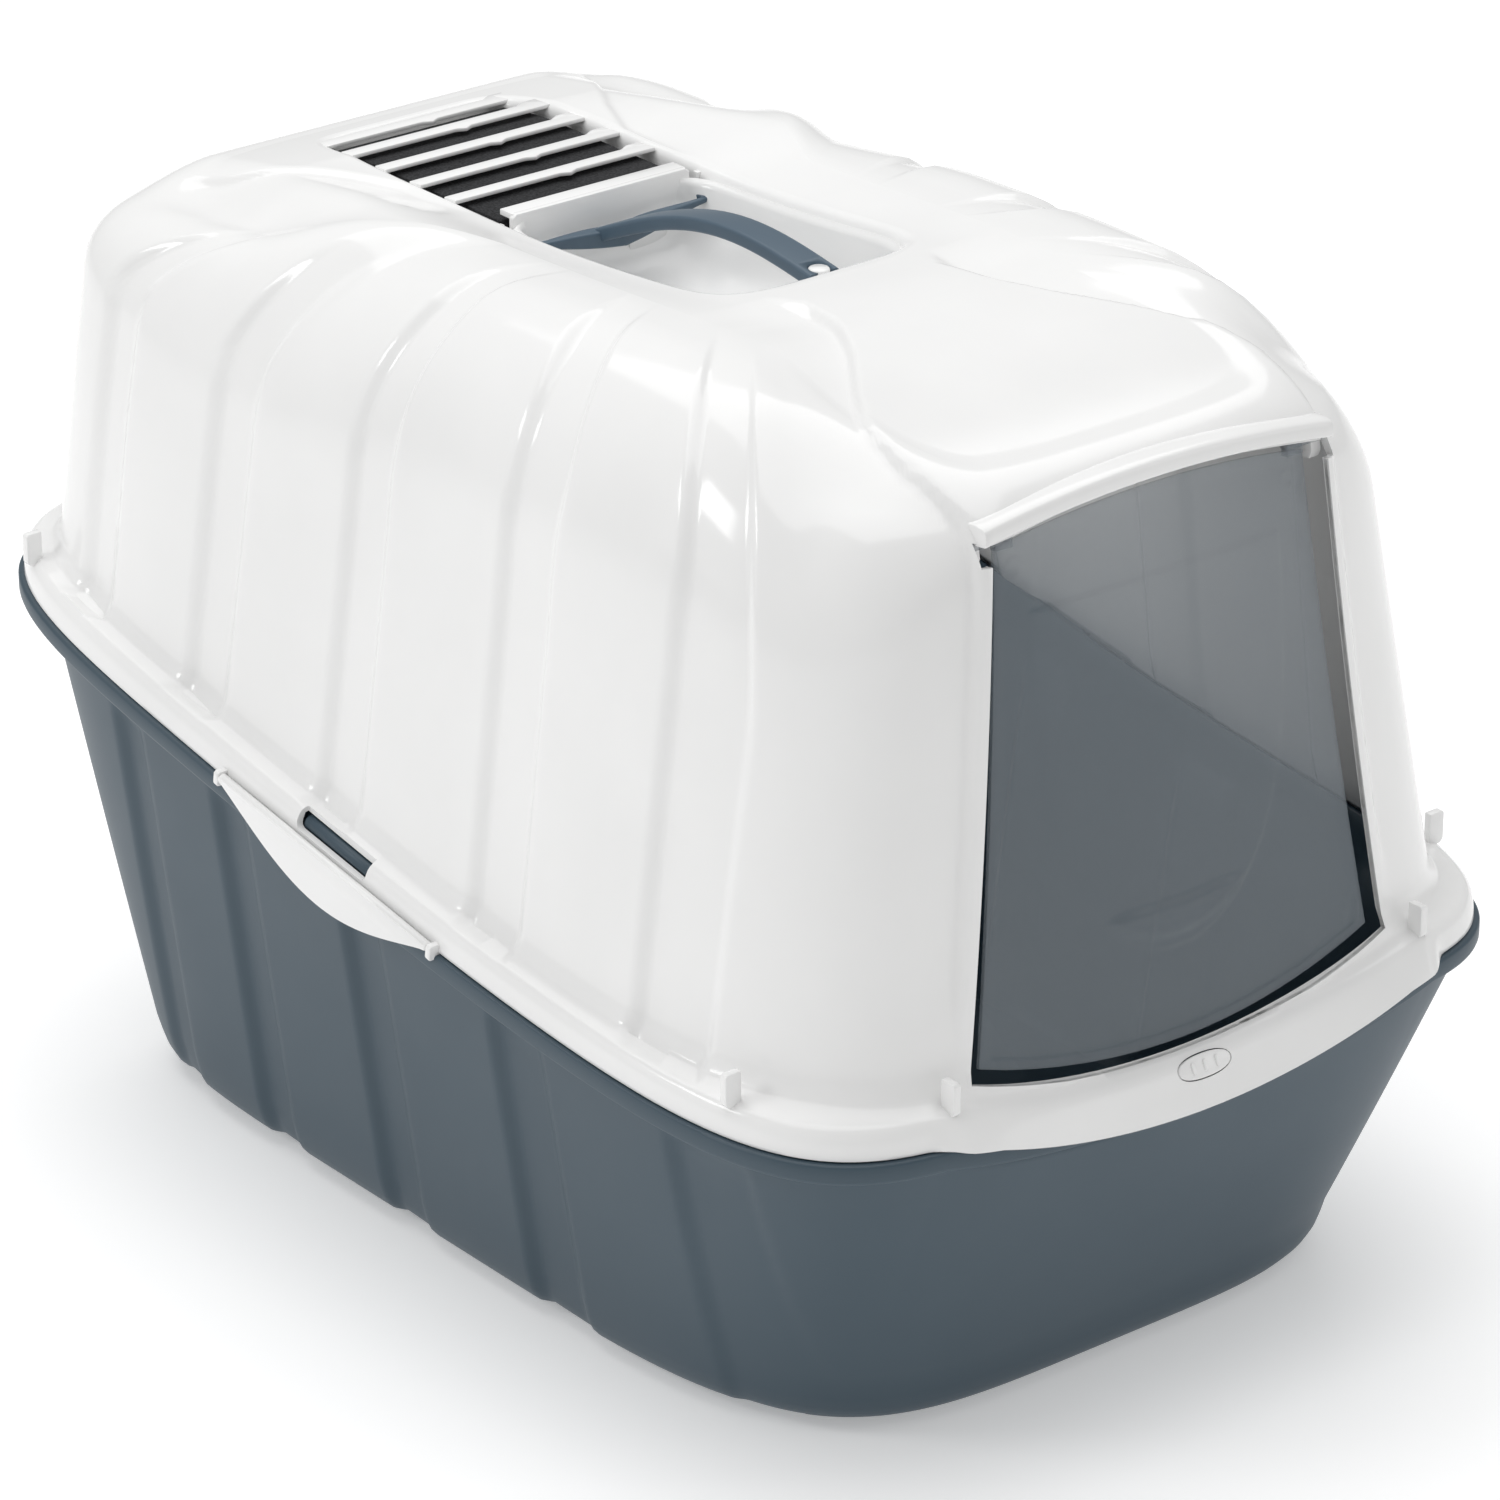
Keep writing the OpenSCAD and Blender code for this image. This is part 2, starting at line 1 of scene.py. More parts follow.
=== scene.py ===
"""Visual model of the hooded cat litter box. Lengths are in millimetres until a mesh is made."""

import math

import bmesh
import bpy
import numpy as np
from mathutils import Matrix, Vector
from mathutils.bvhtree import BVHTree


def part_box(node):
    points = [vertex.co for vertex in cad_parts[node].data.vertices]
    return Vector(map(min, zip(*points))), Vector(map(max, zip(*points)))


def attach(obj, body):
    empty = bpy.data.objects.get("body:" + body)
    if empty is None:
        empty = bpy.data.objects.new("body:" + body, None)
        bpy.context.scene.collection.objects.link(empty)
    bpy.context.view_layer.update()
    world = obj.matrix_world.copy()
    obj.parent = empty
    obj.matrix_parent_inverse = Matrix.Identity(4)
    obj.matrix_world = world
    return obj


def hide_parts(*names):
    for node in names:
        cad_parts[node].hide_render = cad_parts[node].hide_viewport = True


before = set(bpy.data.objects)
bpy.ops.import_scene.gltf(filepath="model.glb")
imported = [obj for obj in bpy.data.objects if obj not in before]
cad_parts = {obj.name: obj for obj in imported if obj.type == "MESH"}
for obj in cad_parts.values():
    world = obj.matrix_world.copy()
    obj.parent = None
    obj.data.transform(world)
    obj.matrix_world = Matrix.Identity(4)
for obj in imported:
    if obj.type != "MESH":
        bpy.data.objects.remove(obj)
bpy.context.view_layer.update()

MM = 0.001
AROUND = 820  # points in every ring of the tray and the hood

# Outline and rim of the tray
RIM_HALF_W, RIM_FRONT, RIM_BACK = 193, 279, 285
FLOOR_HALF_W, FLOOR_FRONT, FLOOR_BACK = 161, 237, 235
RIM_Z, RIM_SLOPE, RIM_CURL, RIM_CURL_BACK = 163.5, 0.16, 22.5, 6
ENTRY_DIP, ENTRY_HALF_W = 12, 124
BAND_H, BAND_W, UPSTAND_H = 8, 10, 9
FOOT_H, TOE_Z, WALL = 4, 24, 2.5

# Squareness of each outline in front and at the back: 2 is an ellipse and more is boxier
FLOOR_SQUARENESS, RIM_SQUARENESS = (4.4, 7), (6.2, 7.8)
HOOD_FOOT_SQUARENESS, HOOD_WALL_SQUARENESS, HOOD_TOP_SQUARENESS = (5.5, 8), (4.6, 8), (3.6, 6)
WELL_SQUARENESS, BOWL_SQUARENESS, CATCH_SQUARENESS = (4.6, 9), (2.4, 2.6), (2.3, 2.3)

# Hood
HOOD_TOP, HOOD_HALF_W, HOOD_FRONT, HOOD_BACK = 405, 178.5, 268, 271
WALL_LEAN, BACK_LEAN, WALL_RISE, TOP_RISE = 0.12, 0.02, 150, 215
SKIRT_DROP, SKIRT_OUT = 7, 6
TRAY_GROOVE_DEPTH, HOOD_GROOVE_DEPTH = 4, 3.52
CREST_DEPTH, EDGE_DEPTH, REAR_DEPTH = 4.0, 3.4, 2.2
SWELL_UP, SWELL_DOWN = 10, 15
VALLEY_Z = 392
WELL_HALF_W, WELL_FRONT, WELL_BACK, PANEL_Y = 50, 52, 224, 90
BOWL_DEPTH = 42
SLATS, SLOT_W, FIRST_SLAT = 5, 15.6, 30
SLAT_PITCH = (WELL_BACK - PANEL_Y - WALL) / (SLATS + 0.57)
SLAT_W = SLAT_PITCH - SLOT_W

# Handle: its cross bar, the front end of its arm, the notches for its tips, and the peg
BAR_Y, ARM_FRONT, NOTCH_X = PANEL_Y - 8.5, 5.0 - WELL_FRONT, 45.6
PEG_RADIUS, PEG_HOLE_RADIUS = 4.4, 4.8

# Door, in a plane that leans back from its foot to the hinge
HINGE_Y, HINGE_Z, DOOR_FOOT_Y, OPENING_Z = 238, 369, 262, 166
OPENING_TOP, OPENING_BOTTOM, SIDE_HOLLOW = 82.5, 105.5, 2
TOP_RISE_BOW, BOTTOM_DROP = 6.5, 16
DOOR_GAP, DOOR_END_GAP, PANE, PANE_RADIUS, PANE_BOW = 6.5, 3.5, 2, 1400, 3
DOOR_TILT = math.atan((DOOR_FOOT_Y - HINGE_Y) / (HINGE_Z - OPENING_Z))
DOOR_FALL = (HINGE_Z - OPENING_Z) / math.cos(DOOR_TILT)

# Latches and push catch
LATCH_Y, LATCH_LEN, LATCH_H = 22, 140, 19
CATCH_Y, CATCH_Z, CATCH_LEAN = 278, 146, math.radians(28)
RIM_TILT = math.atan(RIM_SLOPE + 2 * RIM_CURL_BACK * LATCH_Y / RIM_FRONT ** 2)


# ---- Numbers and outlines ----
def ease(v):
    """0 below 0, 1 above 1 and a soft step between."""
    c = np.clip(v, 0, 1)
    return c * c * (3 - 2 * c)


def mix(a, b, t):
    return a + (b - a) * t


def mix_pair(a, b, t):
    return [mix(first, second, t) for first, second in zip(a, b)]


def on_outline(angle, a, front, back, n_front, n_back):
    """A rounded rectangle whose front and back halves differ in length and squareness."""
    front_half = np.sin(angle) < 0
    b = np.where(front_half, front, back)
    n = np.where(front_half, n_front, n_back)
    reach = ((np.abs(np.cos(angle)) / a) ** n + (np.abs(np.sin(angle)) / b) ** n) ** (-1 / n)
    return np.stack([reach * np.cos(angle), reach * np.sin(angle)], -1)


def even_directions(count):
    """Directions that cut the rim's outline into equal lengths."""
    fine = np.linspace(0, 2 * math.pi, 7201)
    points = on_outline(fine, RIM_HALF_W, RIM_FRONT, RIM_BACK, *RIM_SQUARENESS)
    length = np.concatenate([[0], np.cumsum(np.linalg.norm(np.diff(points, axis=0), axis=1))])
    return np.interp(np.arange(count) / count * length[-1], length, fine)


DIRECTIONS = even_directions(AROUND)


def entry(p):
    """1 in the middle of the front rim, where it dips for the cat, and 0 outside the dip."""
    dip = np.clip(1 - (p[..., 0] / ENTRY_HALF_W) ** 2, 0, None)
    return np.where(p[..., 1] > 0, 0, dip)


def rim_low(p):
    """Height of the underside of the rim at places on it."""
    y = p[..., 1]
    curl = np.where(y < 0, RIM_CURL, RIM_CURL_BACK) * (y / RIM_FRONT) ** 2
    return RIM_Z + RIM_SLOPE * y + curl - ENTRY_DIP * entry(p)


def with_z(p, z):
    """Give flat points a height."""
    return np.concatenate([p, np.broadcast_to(z, p.shape[:-1])[..., None]], -1)


# Grooves as (rear end, front end) along y: a steep step at the rear, a shallow rise at the front.
TRAY_GROOVES = [(190, 165), (119, 92), (33, 2.5), (-65, -103), (-173, -220)]
HOOD_GROOVES = [(218, 190), (140, 108), (48, 16), (-50, -87), (-150, -196)]


def groove(y, grooves, step=8, rise=6):
    """0 on a panel and 1 just in front of a groove's steep step."""
    depth = np.zeros_like(y)
    for rear, front in grooves:
        down = ease((rear - y) / step)
        up = ease((y - front) / rise)
        floor = mix(0.62, 1, np.clip((y - front) / (rear - front), 0, 1))
        depth = np.maximum(depth, down * up * floor)
    return depth


# ---- Meshes ----
def new_object(name, points, faces, smooth=True):
    """A mesh object from points in millimetres."""
    mesh = bpy.data.meshes.new(name)
    mesh.from_pydata([tuple(p) for p in np.asarray(points, float) * MM], [], faces)
    mesh.validate()
    if smooth:
        mesh.polygons.foreach_set("use_smooth", [True] * len(mesh.polygons))
    obj = bpy.data.objects.new(name, mesh)
    bpy.context.scene.collection.objects.link(obj)
    return obj


def grid_faces(rows, columns, around=True, closed=False):
    """Faces of a grid of points; around joins the last column, closed the last row."""
    faces = []
    for k in range(rows if closed else rows - 1):
        for i in range(columns if around else columns - 1):
            j = (i + 1) % columns
            m = (k + 1) % rows
            faces.append((k * columns + i, k * columns + j, m * columns + j, m * columns + i))
    return faces


def loft(name, rings, closed=False, smooth=True):
    """A skin through rings of points, with flat ends unless the rings close on themselves."""
    rings = np.asarray(rings, float)
    rows, columns = rings.shape[:2]
    faces = grid_faces(rows, columns, True, closed)
    if not closed:
        faces.append(tuple(range(columns))[::-1])
        faces.append(tuple((rows - 1) * columns + i for i in range(columns)))
    obj = new_object(name, rings.reshape(-1, 3), faces, smooth)
    outwards(obj)
    return obj


def outwards(obj):
    """Turn every face of a closed mesh to the outside."""
    work = bmesh.new()
    work.from_mesh(obj.data)
    bmesh.ops.recalc_face_normals(work, faces=work.faces)
    work.to_mesh(obj.data)
    work.free()


def sharp_by_angle(obj, degrees=35):
    obj.data.set_sharp_from_angle(angle=math.radians(degrees))


def apply_modifier(obj, modifier):
    bpy.context.view_layer.objects.active = obj
    with bpy.context.temp_override(object=obj, active_object=obj, selected_objects=[obj]):
        bpy.ops.object.modifier_apply(modifier=modifier.name)


def cut(obj, cutter, solver="MANIFOLD"):
    """Take the cutter out of an object and delete the cutter."""
    modifier = obj.modifiers.new("cut", "BOOLEAN")
    modifier.operation = "DIFFERENCE"
    modifier.object = cutter
    modifier.solver = solver
    apply_modifier(obj, modifier)
    bpy.data.objects.remove(cutter)


def bevelled(obj, width, segments=2, angle=35):
    """Round the edges that are sharper than an angle."""
    modifier = obj.modifiers.new("bevel", "BEVEL")
    modifier.width = width * MM
    modifier.segments = segments
    modifier.limit_method = "ANGLE"
    modifier.angle_limit = math.radians(angle)
    apply_modifier(obj, modifier)
    sharp_by_angle(obj, 40)
    return obj


def joined(name, objects):
    """Several meshes as one piece."""
    work = bmesh.new()
    for obj in objects:
        work.from_mesh(obj.data)
    mesh = bpy.data.meshes.new(name)
    work.to_mesh(mesh)
    work.free()
    for obj in objects:
        bpy.data.objects.remove(obj)
    obj = bpy.data.objects.new(name, mesh)
    bpy.context.scene.collection.objects.link(obj)
    return obj


def extruded(name, outline, place, low, high, edge=0.0):
    """An outline of (u, v) points pushed from low to high, laid in space by place(u, v, w)."""
    outline = np.asarray(outline, float)
    bottom = [place(u, v, low) for u, v in outline]
    top = [place(u, v, high) for u, v in outline]
    obj = loft(name, [bottom, top], smooth=False)
    if edge:
        bevelled(obj, edge)
    return obj


def block(name, low, high, edge=0.5):
    """A box with rounded edges between two corners."""
    outline = [(low[0], low[1]), (high[0], low[1]), (high[0], high[1]), (low[0], high[1])]
    return extruded(name, outline, lambda u, v, w: (u, v, w), low[2], high[2], edge)


def swept(name, centres, across, up, section):
    """A section of (a, b) points carried along centres; across and up are its axes there."""
    section = np.asarray(section, float)
    rings = [c + section[:, :1] * a + section[:, 1:] * u
             for c, a, u in zip(np.asarray(centres, float), across, up)]
    return loft(name, rings, smooth=False)


def disc(radius, count=32):
    """Points round a circle."""
    turn = np.arange(count) / count * 2 * math.pi
    return np.stack([radius * np.cos(turn), radius * np.sin(turn)], -1)


def round_box(half_w, half_h, radius, steps=4):
    """Outline of a rectangle with round corners."""
    points = []
    for quarter in range(4):
        cx = (half_w - radius) * (1 if quarter in (0, 3) else -1)
        cy = (half_h - radius) * (1 if quarter in (0, 1) else -1)
        for i in range(steps + 1):
            turn = math.radians(90) * (quarter + i / steps)
            points.append((cx + radius * math.cos(turn), cy + radius * math.sin(turn)))
    return points


def rod(name, start, end, radius, count=28):
    """A round bar with softened ends."""
    start, end = np.asarray(start, float), np.asarray(end, float)
    axis = (end - start) / np.linalg.norm(end - start)
    across = np.cross(axis, (0, 0, 1) if abs(axis[2]) < 0.9 else (1, 0, 0))
    across = across / np.linalg.norm(across)
    up = np.cross(axis, across)
    soft = min(0.6, radius / 3)
    rings = []
    for at, r in ((start, radius - soft), (start + axis * soft, radius),
                  (end - axis * soft, radius), (end, radius - soft)):
        rings.append([at + a * across + b * up for a, b in disc(r, count)])
    obj = loft(name, rings)
    sharp_by_angle(obj, 50)
    return obj


def finish_piece(obj, body, material, nodes=()):
    """Give a piece its material, its body and the CAD nodes that it stands for."""
    obj.data.materials.clear()
    obj.data.materials.append(material)
    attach(obj, body)
    if nodes:
        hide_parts(*nodes)


# ---- Materials ----
def new_material(name):
    """A material with its nodes, its links and its main shader."""
    material = bpy.data.materials.new(name)
    material.use_nodes = True
    nodes = material.node_tree.nodes
    shader = nodes["Principled BSDF"]
    return material, nodes, material.node_tree.links, shader


def add_ramp(nodes, links, source, low, high, at=(0.35, 0.65)):
    """A colour that runs from low to high with a source."""
    ramp = nodes.new("ShaderNodeValToRGB")
    ramp.color_ramp.elements[0].position = at[0]
    ramp.color_ramp.elements[1].position = at[1]
    ramp.color_ramp.elements[0].color = (*low, 1)
    ramp.color_ramp.elements[1].color = (*high, 1)
    links.new(source, ramp.inputs["Fac"])
    return ramp.outputs["Color"]


def add_noise(nodes, links, scale, detail=4.0):
    coordinates = nodes.new("ShaderNodeTexCoord")
    noise = nodes.new("ShaderNodeTexNoise")
    noise.inputs["Scale"].default_value = scale
    noise.inputs["Detail"].default_value = detail
    links.new(coordinates.outputs["Object"], noise.inputs["Vector"])
    return noise.outputs["Fac"]


def add_roughness(nodes, links, shader, scale, low, high):
    spread = nodes.new("ShaderNodeMapRange")
    spread.inputs["To Min"].default_value = low
    spread.inputs["To Max"].default_value = high
    links.new(add_noise(nodes, links, scale), spread.inputs["Value"])
    links.new(spread.outputs["Result"], shader.inputs["Roughness"])


def add_bump(nodes, links, shader, scale, strength, distance):
    bump = nodes.new("ShaderNodeBump")
    bump.inputs["Strength"].default_value = strength
    bump.inputs["Distance"].default_value = distance * MM
    links.new(add_noise(nodes, links, scale, 6.0), bump.inputs["Height"])
    links.new(bump.outputs["Normal"], shader.inputs["Normal"])


def plastic(name, low, high, roughness, grain, bump):
    """Moulded plastic: a slight clouding of the colour, uneven gloss and a fine grain."""
    material, nodes, links, shader = new_material(name)
    links.new(add_ramp(nodes, links, add_noise(nodes, links, 9.0), low, high),
              shader.inputs["Base Color"])
    add_roughness(nodes, links, shader, 24.0, *roughness)
    add_bump(nodes, links, shader, grain, bump, 0.2)
    return material


def white_plastic():
    material = plastic("hood_white", (0.86, 0.86, 0.855), (0.9, 0.9, 0.895), (0.1, 0.15), 60, 0.02)
    shader = material.node_tree.nodes["Principled BSDF"]
    shader.inputs["IOR"].default_value = 1.49
    return material


def blue_plastic():
    return plastic("tray_blue", (0.041, 0.07, 0.094), (0.045, 0.075, 0.1), (0.42, 0.5), 30, 0.01)


def handle_plastic():
    return plastic("handle_blue", (0.06, 0.1, 0.14), (0.065, 0.106, 0.147), (0.36, 0.44), 30, 0.01)


def smoked_plastic():
    material, nodes, links, shader = new_material("door_smoked")
    links.new(add_ramp(nodes, links, add_noise(nodes, links, 6.0), (0.25, 0.29, 0.325),
                       (0.27, 0.31, 0.345)), shader.inputs["Base Color"])
    add_roughness(nodes, links, shader, 30.0, 0.03, 0.06)
    shader.inputs["Alpha"].default_value = 0.32
    shader.inputs["IOR"].default_value = 1.5
    return material


def carbon_fibre():
    material, nodes, links, shader = new_material("filter_charcoal")
    links.new(add_ramp(nodes, links, add_noise(nodes, links, 900.0, 8.0), (0.006, 0.006, 0.007),
                       (0.03, 0.031, 0.034)), shader.inputs["Base Color"])
    add_roughness(nodes, links, shader, 400.0, 0.85, 1.0)
    add_bump(nodes, links, shader, 1200, 0.9, 0.6)
    return material


def floor_surface():
    material, nodes, links, shader = new_material("floor_pale")
    links.new(add_ramp(nodes, links, add_noise(nodes, links, 2.0), (0.9, 0.9, 0.9),
                       (0.91, 0.91, 0.91)), shader.inputs["Base Color"])
    shader.inputs["Roughness"].default_value = 0.7
    shader.inputs["Emission Color"].default_value = (1, 1, 1, 1)
    shader.inputs["Emission Strength"].default_value = 0.3
    return material


WHITE = white_plastic()
BLUE = blue_plastic()
HANDLE_BLUE = handle_plastic()
SMOKED = smoked_plastic()
CARBON = carbon_fibre()


# ---- Tray ----
def rim_outline(inset):
    return on_outline(DIRECTIONS, RIM_HALF_W - inset, RIM_FRONT - inset, RIM_BACK - inset,
                      *RIM_SQUARENESS)


def tray_rim_ring(inset, rise):
    """A ring of the rim, so far in from its edge and above its underside."""
    return with_z(rim_outline(inset), rim_low(rim_outline(0)) + rise)


def tray_floor_ring(inset, z):
    """A level ring of the floor."""
    p = on_outline(DIRECTIONS, FLOOR_HALF_W + 2 - inset, FLOOR_FRONT + 2 - inset,
                   FLOOR_BACK + 2 - inset, *FLOOR_SQUARENESS)
    return with_z(p, z)


def tray_wall_ring(up):
    """A ring of the wall, 0 at its toe and 1 under the rim."""
    squareness = mix_pair(FLOOR_SQUARENESS, RIM_SQUARENESS, up)
    p = on_outline(DIRECTIONS, mix(FLOOR_HALF_W + 2, RIM_HALF_W - BAND_W, up),
                   mix(FLOOR_FRONT + 2, RIM_FRONT - 3, up),
                   mix(FLOOR_BACK + 2, RIM_BACK - BAND_W, up), *squareness)
    return with_z(p, mix(TOE_Z, rim_low(p) - 2, up))


def side_share(rings, half_w):
    """1 on the long sides and 0 from the corners on."""
    return np.clip(np.abs(rings[..., 0]) / half_w, 0, 1) ** 10


def grid_normals(rings):
    """Outward normals of a grid of points."""
    along = np.gradient(rings, axis=0)
    around = (np.roll(rings, -1, axis=1) - np.roll(rings, 1, axis=1)) / 2
    normal = np.cross(around, along)
    return normal / np.linalg.norm(normal, axis=-1, keepdims=True)


# Rings of the tray as (inset, rise): the rounded edge of its floor, and its rim from under the
# band, up the band's face, over it and down the inside of the upstand.
TOE_SECTION = [(15, 0), (10.5, 0.8), (7, 2.6), (4.6, 5.4), (2.8, 9), (1.4, 14)]
BAND_SECTION = [(3.2, -1.2), (1.2, -0.4), (0.3, 0.4), (0, 1.4), (0, BAND_H - 1.2),
                (0.4, BAND_H - 0.3), (1.4, BAND_H), (BAND_W - 0.5, BAND_H),
                (BAND_W, BAND_H + 0.6), (BAND_W, BAND_H + UPSTAND_H - 0.8),
                (BAND_W + 0.8, BAND_H + UPSTAND_H), (BAND_W + 1.8, BAND_H + UPSTAND_H),
                (BAND_W + WALL, BAND_H + UPSTAND_H - 0.8), (BAND_W + WALL, BAND_H - WALL)]


def tray_outside():
    """Rings of the tray's outside up to the rim, with its grooves, and their normals."""
    toe = [tray_floor_ring(inset, FOOT_H + rise) for inset, rise in TOE_SECTION]
    ups = np.concatenate([np.linspace(0, 0.9, 16), [0.93, 0.96, 0.985, 1]])
    outer = np.array(toe + [tray_wall_ring(up) for up in ups])
    fade = np.concatenate([np.linspace(0.35, 1, len(toe)), ease((1 - ups) * 9)])[:, None]
    widest = np.abs(outer[..., 0]).max(axis=1)[:, None]
    depth = TRAY_GROOVE_DEPTH * groove(outer[..., 1], TRAY_GROOVES)
    depth = depth * side_share(outer, widest) * fade
    normals = grid_normals(outer)
    return outer - normals * depth[..., None], normals


def make_tray():
    """The tray: its skin, feet and latch beads; the inside is made of every second ring."""
    outer, normals = tray_outside()
    inner = outer - normals * WALL
    inner[:2, :, 2] = FOOT_H + WALL
    rim = [tray_rim_ring(inset, rise) for inset, rise in BAND_SECTION]
    shell = loft("tray_shell", np.concatenate([outer, rim, inner[::-2]]))
    sharp_by_angle(shell, 50)
    return joined("tray_body", [shell, *feet(), latch_bead(-1), latch_bead(1)])


def feet(inner_x=84, length=46):
    """A low foot in each corner, which follows the floor's outline."""
    made = []
    outline = on_outline(DIRECTIONS, FLOOR_HALF_W - 14, FLOOR_FRONT - 14, FLOOR_BACK - 14,
                         *FLOOR_SQUARENESS)
    for side in (-1, 1):
        for end, inner_y in ((-1, FLOOR_FRONT - length), (1, FLOOR_BACK - length)):
            corner = outline[(outline[:, 0] * side > inner_x) & (outline[:, 1] * end > inner_y)]
            turn = np.arctan2(corner[:, 1] * side * end, corner[:, 0])
            corner = corner[np.argsort(turn)]
            corner = np.concatenate([corner, [(side * inner_x, end * inner_y)]])
            made.append(extruded("foot", corner, lambda u, v, w: (u, v, w), 0, FOOT_H + 1, 0.8))
    return made


def latch_frame(side):
    """Turns (outwards, along the rim, up) at a latch into a place."""
    at = np.array([RIM_HALF_W, LATCH_Y])
    origin = np.array([side * RIM_HALF_W, LATCH_Y, rim_low(at) + BAND_H])
    along = np.array([0, math.cos(RIM_TILT), math.sin(RIM_TILT)])
    up = np.array([0, -math.sin(RIM_TILT), math.cos(RIM_TILT)])
    return lambda out, y, z: origin + np.array([side * out, 0, 0]) + along * y + up * z


def latch_bead(side, length=44):
    """A bead along the tray's upstand beside a latch."""
    place = latch_frame(side)
    return rod("bead", place(-8.4, -length / 2, 6.6), place(-8.4, length / 2, 6.6), 3.2)


# ---- Hood ----
def deck_z(x, y):
    """Height of the deck: a crest behind the door and a level valley along the middle."""
    slope = 0.02 * np.clip(y + 80, 0, None)
    rear_fall = 16 * (np.clip(y - 60, 0, None) / 190) ** 2
    front_fall = 24 * (np.clip(-80 - y, 0, None) / 165) ** 2
    edge = HOOD_TOP - slope - rear_fall - front_fall
    middle = ease((y + 120) / 200) * (1 - ease((np.abs(x) - WELL_HALF_W) / 45))
    return mix(edge, np.minimum(edge, VALLEY_Z), middle)


def middle_z(y):
    """Height of the deck on the middle line."""
    return float(deck_z(0.0, float(y)))


def shoulder(index):
    """The shoulder's run, index 0, or height, index 1, in every direction."""
    side, back, front = ((75, 28, 22), (80, 32, 24))[index]
    degrees = np.degrees(DIRECTIONS)
    frontness = ease((34 - np.abs((degrees - 270 + 540) % 360 - 180)) / 18)
    backness = ease((np.sin(DIRECTIONS) - 0.55) / 0.35)
    return mix(mix(side, back, backness), front, frontness)


def hood_outline(rise, turned, squareness, out=0.0):
    """The hood's outline at a height, drawn in by its share of the shoulder's turn."""
    run = shoulder(0) * turned - out
    return on_outline(DIRECTIONS, HOOD_HALF_W - WALL_LEAN * rise - run,
                      HOOD_FRONT - WALL_LEAN * rise - run,
                      HOOD_BACK - BACK_LEAN * rise - run, *squareness)


def shoulder_z():
    """Height at which the wall turns into the shoulder, in every direction."""
    top = hood_outline(TOP_RISE, 1, HOOD_TOP_SQUARENESS)
    return deck_z(top[:, 0], top[:, 1]) - shoulder(1)


def hood_wall_ring(up, flare=3.2, flare_up=0.06):
    """A ring of the wall, 0 at its flared foot and 1 under the shoulder."""
    out = flare * max(0, 1 - up / flare_up) ** 2
    p = hood_outline(WALL_RISE * up, 0, mix_pair(HOOD_FOOT_SQUARENESS, HOOD_WALL_SQUARENESS, up),
                     out)
    return with_z(p, mix(rim_low(p) + BAND_H + 15, shoulder_z(), up))


def hood_shoulder_ring(turn):
    """A ring of the shoulder, turned from upright at 0 to level at a right angle."""
    turned = 1 - math.cos(turn)
    p = hood_outline(mix(WALL_RISE, TOP_RISE, math.sin(turn)), turned,
                     mix_pair(HOOD_WALL_SQUARENESS, HOOD_TOP_SQUARENESS, turned))
    return with_z(p, shoulder_z() + shoulder(1) * math.sin(turn))


def well_ring(grow, drop):
    """A ring round the well that holds the recess and the grille."""
    p = on_outline(DIRECTIONS, WELL_HALF_W + grow, WELL_FRONT + grow, WELL_BACK + grow,
                   *WELL_SQUARENESS)
    return with_z(p, deck_z(p[:, 0], p[:, 1]) - drop)


def between(a, b, t):
    """A ring on the deck between two others."""
    p = mix(a, b, t)[:, :2]
    return with_z(p, deck_z(p[:, 0], p[:, 1]))


def hood_rim_ring(inset, rise, fall, out):
    """A ring of the hood's rim; fall and out shape the skirt over the entry."""
    p = rim_outline(2 + inset)
    edge = rim_outline(0)
    here = np.where(p[:, 1] > 0, 0, ease((ENTRY_HALF_W + 8 - np.abs(p[:, 0])) / 16))
    drop = np.clip(1 - (p[:, 0] / (ENTRY_HALF_W - 20)) ** 2, 0, None)
    drop = np.where(p[:, 1] > 0, 0, SKIRT_DROP * drop)
    p = np.stack([p[:, 0], p[:, 1] - here * out], -1)
    return with_z(p, rim_low(edge) + BAND_H + rise - fall * drop)


def flute_depth(points):
    """Grooves on the sides, which bend towards the hand recess as they run over the shoulder."""
    x, y = np.abs(points[..., 0]), points[..., 1]
    bend = 0.5 + 0.5 * np.clip((x - 72) / 80, 0, 1)
    top_end = mix(78, 112, ease(y / 110))
    fade = ease((x - top_end) / 42)
    half_w = HOOD_HALF_W - WALL_LEAN * np.clip(points[..., 2] - 185, 0, WALL_RISE)
    side = 1 - ease((np.abs(y) / bend - 212) / 26)
    on_side = np.where(x > half_w - 30, 1, side) * side
    return HOOD_GROOVE_DEPTH * groove(y / bend, HOOD_GROOVES) * fade * on_side


# The edge of the raised middle of the hood, as half widths: along y on top and at the back, and
# along z on the front.
CREST_LINE = [(-237, 85), (-227, 86), (-203, 88), (-178, 83), (-154, 68), (-127, 48), (-106, 37),
              (-84, 34), (-60, 40)]
FRAME_LINE = [(150, 111), (166, 109), (263, 96.5), (315, 91), (342, 88), (363, 86), (378, 85)]
REAR_LINE = [(90, 50), (147, 53), (174, 65), (199, 80), (216, 93), (240, 100)]


def follow(line, at):
    """Half width that a line gives at places along it."""
    places, widths = zip(*line)
    return np.interp(at, places, widths)


def valley(beside, near, far):
    """0 inside a crease, sinking just outside it and coming back over a wide slope."""
    return ease(beside / near) * (1 - ease((beside - near) / far))


